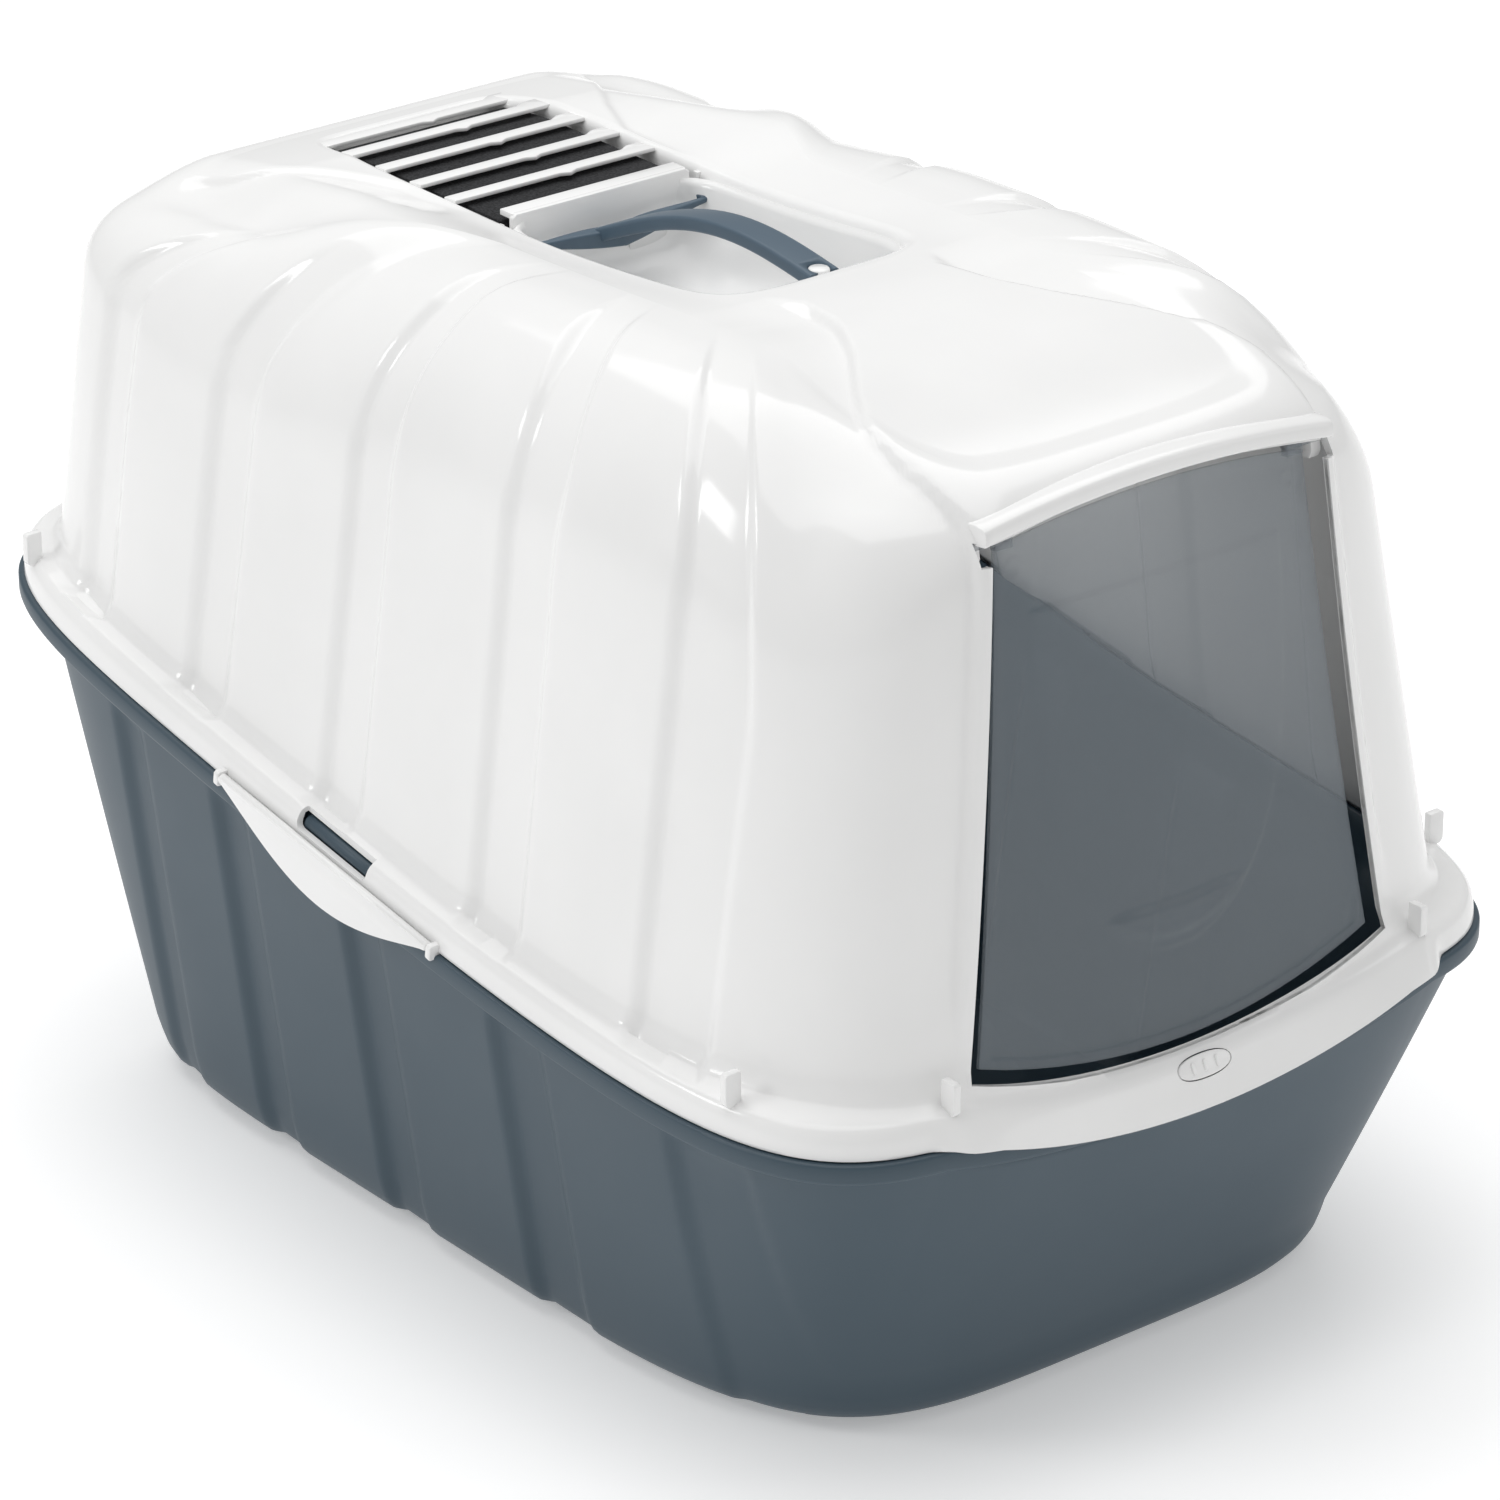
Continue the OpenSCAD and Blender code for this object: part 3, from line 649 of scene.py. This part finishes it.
def crease_depth(points):
    """Depth of the creases beside the raised middle, on top, in front and at the back."""
    x, y, z = np.abs(points[..., 0]), points[..., 1], points[..., 2]
    on_top = ease((z - 372) / 10) * ease((-y - 62) / 30)
    on_front = ease((-y - 205) / 30) * (1 - ease((z - 372) / 10)) * ease((z - 175) / 40)
    at_back = ease((z - 360) / 10) * ease((y - 95) / 40) * (1 - ease((y - 225) / 15))
    crest = CREST_DEPTH * on_top * valley(x - follow(CREST_LINE, y), 4.5, 50)
    edge = EDGE_DEPTH * on_front * valley(x - follow(FRAME_LINE, z), 5, 42)
    rear = REAR_DEPTH * at_back * valley(x - follow(REAR_LINE, y), 6, 34)
    return crest + edge + rear


def swell(points):
    """How far the shoulders stand up beside the recess and sink beside the grille."""
    x, y, z = np.abs(points[..., 0]), points[..., 1], points[..., 2]
    full = SWELL_UP * ease((x - 77) / 45) * (1 - ease((y + 10) / 120)) * ease((y + 200) / 60)
    slack = SWELL_DOWN * ease((x - 80) / 40) * ease((y - 90) / 80) * (1 - ease((y - 185) / 110))
    return ease((z - 290) / 80) * (full - slack)


def hood_surface():
    """The hood's outside from the foot of its wall to the edge of the well."""
    ups = np.concatenate([[0, 0.012, 0.026, 0.042, 0.06, 0.1], np.linspace(0.15, 1, 15)])
    turns = np.radians(np.linspace(6, 90, 15))
    rings = [hood_wall_ring(up) for up in ups] + [hood_shoulder_ring(turn) for turn in turns]
    top, edge = rings[-1], well_ring(5, 0)
    rings += [between(top, edge, t) for t in np.linspace(0.03, 1, 33)]
    rings = np.array(rings)
    rings[..., 2] += swell(rings)
    depth = np.maximum(flute_depth(rings), crease_depth(rings))
    normals = grid_normals(rings)
    return rings - normals * depth[..., None], normals


# Rings of the hood's rim: inset, rise, share of the skirt's drop, and how far the skirt stands
# out over the entry.
RIM_SECTION = [(0.6, 0.3, 1, SKIRT_OUT + 1.6), (0, 0.9, 0.97, SKIRT_OUT + 1.9),
               (0, 2.2, 0.9, SKIRT_OUT + 1), (0.2, 5.5, 0.45, SKIRT_OUT - 1.2),
               (0.8, 8.6, 0.05, SKIRT_OUT - 3.2), (1.5, 10.6, 0, SKIRT_OUT - 4.2),
               (2.6, 12.2, 0, 1.4), (4.2, 13.3, 0, 1.0)]


def hood_shell():
    """The hood's closed skin: rim, outside, lip of the well, inside, underside of the rim."""
    outer, normals = hood_surface()
    inner = (outer - normals * WALL)[::-3]  # every third ring is enough inside
    rim = [hood_rim_ring(*section) for section in RIM_SECTION]
    lip = [well_ring(3.6, 0.25), well_ring(2.4, 0.8), well_ring(1.3, 1.8), well_ring(0.5, 3.2),
           well_ring(0.1, 5), well_ring(-0.4, 13), well_ring(1.6, 13), well_ring(2.6, 4)]
    under = [hood_rim_ring(BAND_W + 0.3, 11.5, 0, 0), hood_rim_ring(WALL + 2, 10.5, 0, 1),
             hood_rim_ring(WALL + 0.6, 6, 0.45, SKIRT_OUT - 2.2),
             hood_rim_ring(WALL, 0.3, 1, SKIRT_OUT + 1.6)]
    shell = loft("hood_shell", np.concatenate([rim, outer, lip, inner, under]), closed=True)
    sharp_by_angle(shell, 50)
    return shell


def at_door(u, v, w):
    """A place in the door's plane: u across, v up from the hinge, w out towards the front."""
    return np.array([u, -HINGE_Y + v * math.sin(DOOR_TILT) - w * math.cos(DOOR_TILT),
                     HINGE_Z + v * math.cos(DOOR_TILT) + w * math.sin(DOOR_TILT)])


def half_width(v, side):
    """Half the opening's width at a height, less the gap beside the door."""
    t = -v / DOOR_FALL
    return mix(OPENING_TOP, OPENING_BOTTOM, t) - SIDE_HOLLOW * 4 * t * (1 - t) - side


def opening_outline(side, end, steps=24):
    """The opening's outline in the door's plane, from its top left corner round."""
    top = np.linspace(-1, 1, steps + 1)
    half_top, half_low = half_width(0, side), half_width(-DOOR_FALL, side)
    points = [(t * half_top, -end + TOP_RISE_BOW * (1 - t * t)) for t in top]
    sides = [mix(-end, end - DOOR_FALL, i / steps) for i in range(1, steps)]
    points += [(half_width(v, side), v) for v in sides]
    points += [(-t * half_low, end - DOOR_FALL - BOTTOM_DROP * (1 - t * t)) for t in top]
    points += [(-half_width(v, side), v) for v in sides[::-1]]
    return points


def surface_at(tree, u, v):
    """How far the wall's outside stands in front of the door's plane at a place."""
    start, missed = 40, 3.0
    origin = Vector(at_door(u, v, start) * MM)
    direction = Vector((at_door(u, v, 0) - at_door(u, v, start)) * MM).normalized()
    hit = tree.ray_cast(origin, direction)
    return start - hit[3] / MM if hit[0] else missed


def jamb(tree, depth=2.4, thick=1.8):
    """The flange that turns inwards round the door opening."""
    outline = opening_outline(0, 0)
    wide = opening_outline(-thick, -thick)
    rings = []
    for (u, v), (wide_u, wide_v) in zip(outline, wide):
        face = surface_at(tree, wide_u * 1.01, max(wide_v, -DOOR_FALL - 12))
        rings.append([at_door(u, v, face - 0.2), at_door(wide_u, wide_v, face - 0.2),
                      at_door(wide_u, wide_v, face - depth), at_door(u, v, face - depth)])
    return loft("jamb", rings, closed=True, smooth=False)


def brow():
    """The curved lip over the door."""
    half, steps = OPENING_TOP + 3.5, 41
    centres = [at_door(t * half, TOP_RISE_BOW * (1 - t * t) + 4, 0)
               for t in np.linspace(-1, 1, steps)]
    across = [at_door(0, 0, 1) - at_door(0, 0, 0)] * steps
    up = [at_door(0, 1, 0) - at_door(0, 0, 0)] * steps
    section = [(-8, -3.7), (8.2, -3.7), (9, -3), (9.2, 1), (8.6, 2.6), (7, 3.6), (3, 4.4),
               (-8, 4.4)]
    return bevelled(swept("brow", centres, across, up, section), 0.5)


def hinge_ears(width=5):
    """The ears at the brow's ends that hold the door's pins."""
    made = []
    for side in (-1, 1):
        low, high = sorted((side * (OPENING_TOP - 0.5), side * (OPENING_TOP + width - 0.5)))
        outline = [(-9, 6), (-0.5, 6), (0.5, -6), (-1, -9), (-9, -9)]
        made.append(extruded("ear", outline, lambda a, b, u: at_door(u, b, a), low, high, 0.4))
    return made


def hinge_pocket(side):
    """Cuts the notch at the brow's end where the door's pin lies."""
    low, high = sorted((side * (OPENING_TOP - 1), side * (OPENING_TOP + 4.6)))
    outline = [(low, -7.5), (high, -7.5), (high, 1.6), (low, 1.6)]
    return extruded("pocket", outline, at_door, -4, 14)


def hinge_room(side):
    """Cuts the room above the opening's end in which the door's knuckle turns."""
    return rod("room", at_door(side * 60, 0, 0), at_door(side * (OPENING_TOP + 0.3), 0, 0), 6)


def fins(out=7.5, height=14, thick=3.6):
    """Small upright fins where the wall meets the rim, two at each corner."""
    made = []
    for side in (-1, 1):
        for x, y, nx, ny in ((176, -216, 1, 0), (176, 244, 1, 0), (119, -266, 0, -1),
                             (119, 271, 0, 1)):
            at = np.array([side * x, y])
            base = rim_low(at) + BAND_H + 12
            face = np.array([side * nx, ny])
            along = np.array([-face[1], face[0]])

            def place(a, b, w, at=at, face=face, along=along, base=base):
                flat = at + face * a + along * w
                return (flat[0], flat[1], base + b)

            outline = [(0, 0), (out - 1.6, 0), (out, 1.6), (out, height - 1), (out - 1, height),
                       (0, height)]
            made.append(extruded("fin", outline, place, -thick / 2, thick / 2, 0.5))
    return made


def latch_slot_cutter(side):
    """Cuts the slot above a latch through the skirt."""
    place = latch_frame(side)
    outline = round_box(23, 5.2, 3)
    return extruded("slot", outline, lambda u, v, w: place(w, u, v + 10.2), -8, 6)


def latch_gussets(side):
    """The small cheeks at both ends of a latch that hold its pins."""
    place = latch_frame(side)
    made = []
    for end in (-1, 1):
        outline = [(-4, -1.2), (2, -1.2), (2.6, 0), (2.6, 4.4), (1.6, 5.4), (-4, 5.4)]
        low, high = sorted((end * LATCH_LEN / 2, end * (LATCH_LEN / 2 + 3)))
        made.append(extruded("gusset", outline, lambda u, v, w: place(u, w, v), low, high, 0.5))
    return made


def at_catch(u, v, w):
    """A place on the skirt's leaning face: u across, v up the face, w out of it."""
    sin, cos = math.sin(CATCH_LEAN), math.cos(CATCH_LEAN)
    return np.array([u, -CATCH_Y + v * sin - w * cos, CATCH_Z + v * cos + w * sin])


def catch_oval(half_w, half_h, count):
    """Outline of the push catch."""
    turn = np.arange(count) / count * 2 * math.pi
    return on_outline(turn, half_w, half_h, half_h, *CATCH_SQUARENESS)


def bowl():
    """The hand recess under the handle: a sloping bowl hung from the well's edge."""
    def ring(shrink, depth, thick=0.0):
        squareness = mix_pair(BOWL_SQUARENESS, WELL_SQUARENESS, shrink)
        p = on_outline(DIRECTIONS, (WELL_HALF_W - 0.3) * shrink + thick,
                       (WELL_FRONT - 0.3) * shrink + thick,
                       (PANEL_Y + 1.5) * min(1, shrink / 0.8) + thick, *squareness)
        edge = deck_z(p[:, 0], p[:, 1])
        return with_z(p, mix(edge, deck_z(0, 0), 1 - shrink) - depth * BOWL_DEPTH - thick)

    steps = [(1, 0.07), (0.975, 0.16), (0.95, 0.3), (0.91, 0.46), (0.85, 0.62), (0.77, 0.76),
             (0.68, 0.87), (0.56, 0.94), (0.4, 0.985), (0.2, 1), (0.04, 1)]
    inner = [ring(*step) for step in steps]
    outer = [ring(*step, thick=2.2) for step in steps]
    return loft("hand_bowl", np.array(outer[::-1] + inner))


def slat(index):
    """One slat across the well, with a blunt tooth in the middle and at one end."""
    y = PANEL_Y + FIRST_SLAT + SLAT_W / 2 + index * SLAT_PITCH
    half = WELL_HALF_W + 1
    front, back = -SLAT_W / 2, SLAT_W / 2
    outline = [(-half, front), (2, front), (6, front - 2.2), (10, front), (half, front),
               (half, back + 3.2), (half - 7, back + 3.2), (half - 12, back), (-half, back)]
    z = middle_z(y) - 1.4
    lean = math.radians(-4)

    def place(u, v, w):
        return (u, y + v * math.cos(lean) - w * math.sin(lean),
                z + v * math.sin(lean) + w * math.cos(lean))

    return extruded("slat", outline, place, -0.9, 0.9, 0.5)


def panel():
    """The wall between the recess and the grille, notched for the handle's tips."""
    half, height, notch = WELL_HALF_W + 1, 30, 4
    bottom = middle_z(PANEL_Y) - height
    top = middle_z(PANEL_Y) + 0.6
    outline = [(-half, bottom), (-14, bottom), (-14, bottom + 12), (14, bottom + 12), (14, bottom),
               (half, bottom), (half, top - 3), (half - 2.2, top - 3), (half - 2.2, top - 13),
               (half - 2.2 - notch, top - 13), (half - 2.2 - notch, top - 1.5),
               (half - 4 - notch, top), (-half + 4 + notch, top), (-half + 2.2 + notch, top - 1.5),
               (-half + 2.2 + notch, top - 13), (-half + 2.2, top - 13), (-half + 2.2, top - 3),
               (-half, top - 3)]
    wall = extruded("panel", outline, lambda u, v, w: (u, w, v), PANEL_Y, PANEL_Y + 3, 0.5)
    ledge = block("ledge", (-half + 7, PANEL_Y + 1.5, top - 2.6),
                  (half - 7, PANEL_Y + 10, top - 0.1), 0.3)
    return [wall, ledge]


def make_hood():
    shell = hood_shell()
    tree = BVHTree.FromObject(shell, bpy.context.evaluated_depsgraph_get())
    frame_lip = jamb(tree)
    cut(shell, extruded("opening", opening_outline(0, 0), at_door, -18, 30))
    lip = brow()
    parts = [frame_lip, lip]
    for side in (-1, 1):
        cut(shell, hinge_pocket(side))
        cut(frame_lip, hinge_pocket(side))
        for piece in (shell, frame_lip, lip):
            cut(piece, hinge_room(side))
        cut(shell, latch_slot_cutter(side))
        parts += latch_gussets(side)
    cut(shell, extruded("catch_hole", catch_oval(13.6, 5, 64), at_catch, -6, 6))
    sharp_by_angle(shell, 50)
    finish_piece(shell, "hood", WHITE, ["hood"])
    trim = joined("hood_trim", parts + hinge_ears() + fins())
    finish_piece(trim, "hood", WHITE)
    grille = joined("grille", [slat(i) for i in range(SLATS)] + panel())
    finish_piece(grille, "hood", WHITE)
    finish_piece(bowl(), "hood", WHITE)
    deck = middle_z(ARM_FRONT)
    peg = rod("handle_peg", (0, ARM_FRONT, deck - 16), (0, ARM_FRONT, deck - 0.5), PEG_RADIUS)
    finish_piece(peg, "hood", WHITE)


# ---- Door ----
def ridge(distance, width):
    """1 on a raised line and 0 at a distance from it."""
    return np.clip(1 - np.abs(distance) / width, 0, 1) ** 0.7


def pane_relief(u, v):
    """Height of the raised lines on the door: its border, a shield, a finger grip and two rings."""
    top = TOP_RISE_BOW * (1 - (u / half_width(0, DOOR_GAP)) ** 2) - DOOR_END_GAP
    low = -DOOR_FALL + DOOR_END_GAP
    low = low - BOTTOM_DROP * (1 - (u / half_width(-DOOR_FALL, DOOR_GAP)) ** 2)
    edge = np.minimum(np.minimum(half_width(v, DOOR_GAP) - np.abs(u), top - v), v - low)
    border = 0.5 * ease((5.5 - edge) / 2.4)
    fall = np.clip((-v - 30) / 150, 0, 1)
    shield = 62 * np.sqrt(np.clip(1 - fall ** 3.2, 0, 1)) - np.abs(u)
    step = 0.6 * ease((shield + 1.5) / 3) * ease((-v - 30) / 3)
    grip_v = v + 168 - 0.006 * u ** 2
    inside = np.clip(1 - (u / 34) ** 2, 0, 1)
    grip = 1.5 * ease((9 * np.sqrt(inside) - np.abs(grip_v)) / 5) * (np.abs(u) < 34)
    rings = 0
    for side in (-1, 1):
        away = np.hypot(u - side * (OPENING_TOP - DOOR_GAP - 8), v + 13)
        rings = rings + 0.5 * ridge(away - 3.4, 1.5)
    return border + step + grip + rings


def door_grid(across, up):
    """Places (u, v) that fill the door's outline, in rows from its foot up."""
    u_share, v_share = np.meshgrid(np.linspace(-1, 1, across), np.linspace(0, 1, up))
    low = DOOR_END_GAP - DOOR_FALL - BOTTOM_DROP * (1 - u_share ** 2)
    high = -DOOR_END_GAP + TOP_RISE_BOW * (1 - u_share ** 2)
    v = mix(low, high, v_share)
    return u_share * half_width(np.clip(v, -DOOR_FALL, 0), DOOR_GAP), v


def door_sheet(across=170, up=210, set_back=0.9):
    """The bowed pane; its front is set back so that it clears the brow as the door swings."""
    u, v = door_grid(across, up)
    bow = PANE_BOW - u ** 2 / (2 * PANE_RADIUS)
    front = bow + PANE / 2 - set_back + pane_relief(u, v)
    back = bow - PANE / 2
    sheets = [np.stack([at_door(*p) for p in zip(u.ravel(), v.ravel(), w.ravel())])
              for w in (front, back)]
    count = across * up
    faces = grid_faces(up, across, around=False)
    faces += [tuple(i + count for i in face[::-1]) for face in faces]
    rim = [*range(across), *range(2 * across - 1, count, across),
           *range(count - 2, count - across - 1, -1), *range(count - 2 * across, 0, -across)]
    faces += [(a, a + count, b + count, b) for a, b in zip(rim, rim[1:] + rim[:1])]
    pane = new_object("pane", np.concatenate(sheets), faces)
    outwards(pane)
    sharp_by_angle(pane, 45)
    return pane


def door_hinges(half=4):
    """The knuckles at both ends of the door's top edge, with their pins."""
    made = []
    middle = OPENING_TOP - DOOR_GAP - half
    for side in (-1, 1):
        made.append(rod("pin", at_door(side * (middle - half), 0, 0),
                        at_door(side * (OPENING_TOP + 4.5), 0, 0), 2.5))
        outline = [(-1.2, 2.2), (2.6, 2.2), (2.6, -4.5), (-1.2, -4.5)]
        low, high = sorted((side * (middle - half), side * (middle + half)))
        made.append(extruded("knuckle", outline, lambda a, b, w: at_door(w, b, a), low, high, 0.4))
    return made


def make_door():
    door = joined("door_pane", [door_sheet(), *door_hinges()])
    finish_piece(door, "door", SMOKED, ["door"])


# ---- Handle ----
def handle_arm(start_z, bar_z, rise=13, steps=26):
    """The arched bar from the peg back to the cross bar, with the hole for the peg."""
    t = np.linspace(0, 1, steps)
    y = mix(ARM_FRONT - 3, BAR_Y + 1, t)
    z = mix(start_z, bar_z - 2, t) + rise * np.sin(math.pi * t)
    rings = []
    for i in range(steps):
        a, b = max(i - 1, 0), min(i + 1, steps - 1)
        along = np.array([0, y[b] - y[a], z[b] - z[a]])
        up = np.cross((1, 0, 0), along / np.linalg.norm(along))
        half_w = 7.5 + 5 * ease((t[i] - 0.72) / 0.28)
        section = np.array(round_box(half_w, 3, 1.6))
        rings.append(np.array([0, y[i], z[i]]) + section[:, :1] * np.array([1, 0, 0])
                     + section[:, 1:] * up)
    arm = loft("arm", rings)
    sharp_by_angle(arm, 50)
    hole = rod("hole", (0, ARM_FRONT, start_z - 20), (0, ARM_FRONT, start_z + 20),
               PEG_HOLE_RADIUS)
    cut(arm, hole, "EXACT")
    return arm


def handle_wings(bar_z):
    """The cross bar, which thins towards both ends."""
    reach = NOTCH_X + 2.4
    rings = []
    for x in np.linspace(-reach, reach, 41):
        share = 1 - np.abs(x) / reach
        half_h = 1.2 + 2.4 * ease(share * 1.2)
        half_t = 1.3 + 2.5 * ease(share * 1.1)
        section = np.array(round_box(half_t, half_h, 1.1))
        centre = np.array([x, BAR_Y - 0.5 - 3.6 * share ** 2, bar_z + 1.5 - 4 * share])
        rings.append(centre + section[:, :1] * np.array([0, 1, 0])
                     + section[:, 1:] * np.array([0, 0, 1]))
    return loft("wings", rings)


def make_handle():
    bar_z = middle_z(PANEL_Y) - 12
    parts = [handle_arm(middle_z(ARM_FRONT) - 4, bar_z), handle_wings(bar_z)]
    for side in (-1, 1):
        parts.append(block("tip", (side * NOTCH_X - 1.6, BAR_Y - 0.8, bar_z + 0.2),
                           (side * NOTCH_X + 1.6, BAR_Y + 12, bar_z + 2.8), 0.5))
    handle = joined("carry_handle", parts)
    finish_piece(handle, "hood", HANDLE_BLUE, ["handle"])


# ---- Filter ----
def make_filter_pad():
    """The pad, whose top follows the deck under the grille."""
    low, high = (np.array(corner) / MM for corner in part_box("charcoal_filter"))
    places = np.linspace(low[1], high[1], 9)
    outline = [(y, middle_z(y) - 4) for y in places]
    outline = [(high[1], low[2]), *outline[::-1], (low[1], low[2])]
    pad = extruded("filter_pad", outline, lambda u, v, w: (w, u, v), low[0], high[0], 0.8)
    finish_piece(pad, "filter", CARBON, ["charcoal_filter"])


def make_filter_holder(wall=2.5):
    """The open frame with bars that carries the pad."""
    low, high = (np.array(corner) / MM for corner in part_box("filter_holder"))
    parts = [block("side", (x, low[1], low[2]), (x + wall, high[1], high[2]), 0.4)
             for x in (low[0], high[0] - wall)]
    parts += [block("end", (low[0] + wall, y, low[2]), (high[0] - wall, y + wall, high[2]), 0.4)
              for y in (low[1], high[1] - wall)]
    for y in np.linspace(low[1] + 10, high[1] - 10, 7):
        parts.append(block("bar", (low[0] + wall, y - 3, low[2]),
                           (high[0] - wall, y + 3, low[2] + 2), 0.4))
    holder = joined("filter_tray", parts)
    finish_piece(holder, "filter", WHITE, ["filter_holder"])


# ---- Latches ----
def make_latch(side):
    place = latch_frame(side)
    half, pin_out, pin_up = LATCH_LEN / 2 - 0.3, 0.6, 3.2
    share = np.linspace(1, -1, 49)
    edge = [(u * half, 2.2 - LATCH_H * abs(math.cos(math.pi / 2 * u)) ** 1.1) for u in share]
    edge[0], edge[-1] = (half, 2.0), (-half, 2.0)
    outline = [(half, 4.2), *edge, (-half, 4.2)]
    flap = extruded("flap", outline, lambda u, v, w: place(w, u, v), 0.9, 2.8, 0.6)
    bead = rod("bead", place(pin_out, -half, pin_up), place(pin_out, half, pin_up), 2.0)
    pin = rod("pin", place(pin_out, -half - 3, pin_up), place(pin_out, half + 3, pin_up), 1.2)
    name = "left" if side < 0 else "right"
    latch = joined("latch_flap_" + name, [flap, bead, pin])
    finish_piece(latch, "latch_" + name, WHITE, ["latch_" + name])


# ---- Push catch ----
def make_catch():
    pad = extruded("pad", catch_oval(13.2, 4.6, 48), at_catch, -1.2, 1.0, 0.6)
    bars = [extruded("grip", round_box(0.9, 2.4, 0.85), lambda u, v, w, i=i: at_catch(u + i, v, w),
                     0.3, 1.7, 0.3) for i in (-6, 0, 6)]
    stem = extruded("stem", round_box(8, 2.4, 0.6), at_catch, -4.6, -1)
    catch = joined("catch_pad", [pad, *bars, stem])
    finish_piece(catch, "push_catch", WHITE, ["push_catch"])


# ---- Stage ----
def make_floor():
    size = 6000
    corners = [(-size, -size, 0), (size, -size, 0), (size, size, 0), (-size, size, 0)]
    floor = new_object("floor", corners, [(0, 1, 2, 3)])
    floor.data.materials.append(floor_surface())


def aimed(name, data, place, target):
    """A light or a camera that stands at a place and looks at a target."""
    obj = bpy.data.objects.new(name, data)
    obj.location = place
    obj.rotation_euler = (Vector(target) - Vector(place)).to_track_quat("-Z", "Y").to_euler()
    bpy.context.scene.collection.objects.link(obj)
    return obj


def add_light(name, place, target, size, power):
    """A rectangular light; places and sizes are in metres, as for the camera."""
    light = bpy.data.lights.new(name, "AREA")
    light.shape = "RECTANGLE"
    light.size, light.size_y = size
    light.energy = power
    return aimed(name, light, place, target)


def make_lights():
    """Soft studio light; a faint inner one stands for what shines through the thin hood."""
    world = bpy.data.worlds.new("studio")
    bpy.context.scene.world = world
    world.use_nodes = True
    background = world.node_tree.nodes["Background"]
    background.inputs["Color"].default_value = (1, 1, 1, 1)
    background.inputs["Strength"].default_value = 0.45
    middle = (0, 0, 0.2)
    add_light("window", (-1.97, 0.85, 1.6), middle, (0.75, 0.5), 8)
    add_light("top", (0.2, 0.4, 2.7), middle, (3.2, 3.2), 54)
    add_light("left", (-2.9, 1.3, 1.2), middle, (1.2, 1.2), 1.5)
    add_light("front", (2.4, -2.3, 1.1), middle, (1.2, 1.2), 4)
    glow = add_light("through_walls", (-0.02, 0.02, 0.28), (0.16, 0.06, 0.3), (0.08, 0.08), 0.15)
    glow.visible_camera = False


def make_camera():
    """The view of the photo."""
    place, target = (-1.5663, -1.9456, 1.3258), (-0.0040, -0.0095, 0.1823)
    camera = bpy.data.cameras.new("photo_view")
    camera.lens = 162.64
    camera.sensor_width = 36
    bpy.context.scene.camera = aimed("photo_view", camera, place, target)


tray = make_tray()
finish_piece(tray, "tray", BLUE, ["tray"])
make_hood()
make_door()
make_handle()
make_filter_pad()
make_filter_holder()
make_latch(-1)
make_latch(1)
make_catch()
make_floor()
make_lights()
make_camera()
bpy.context.scene.view_settings.view_transform = "Standard"
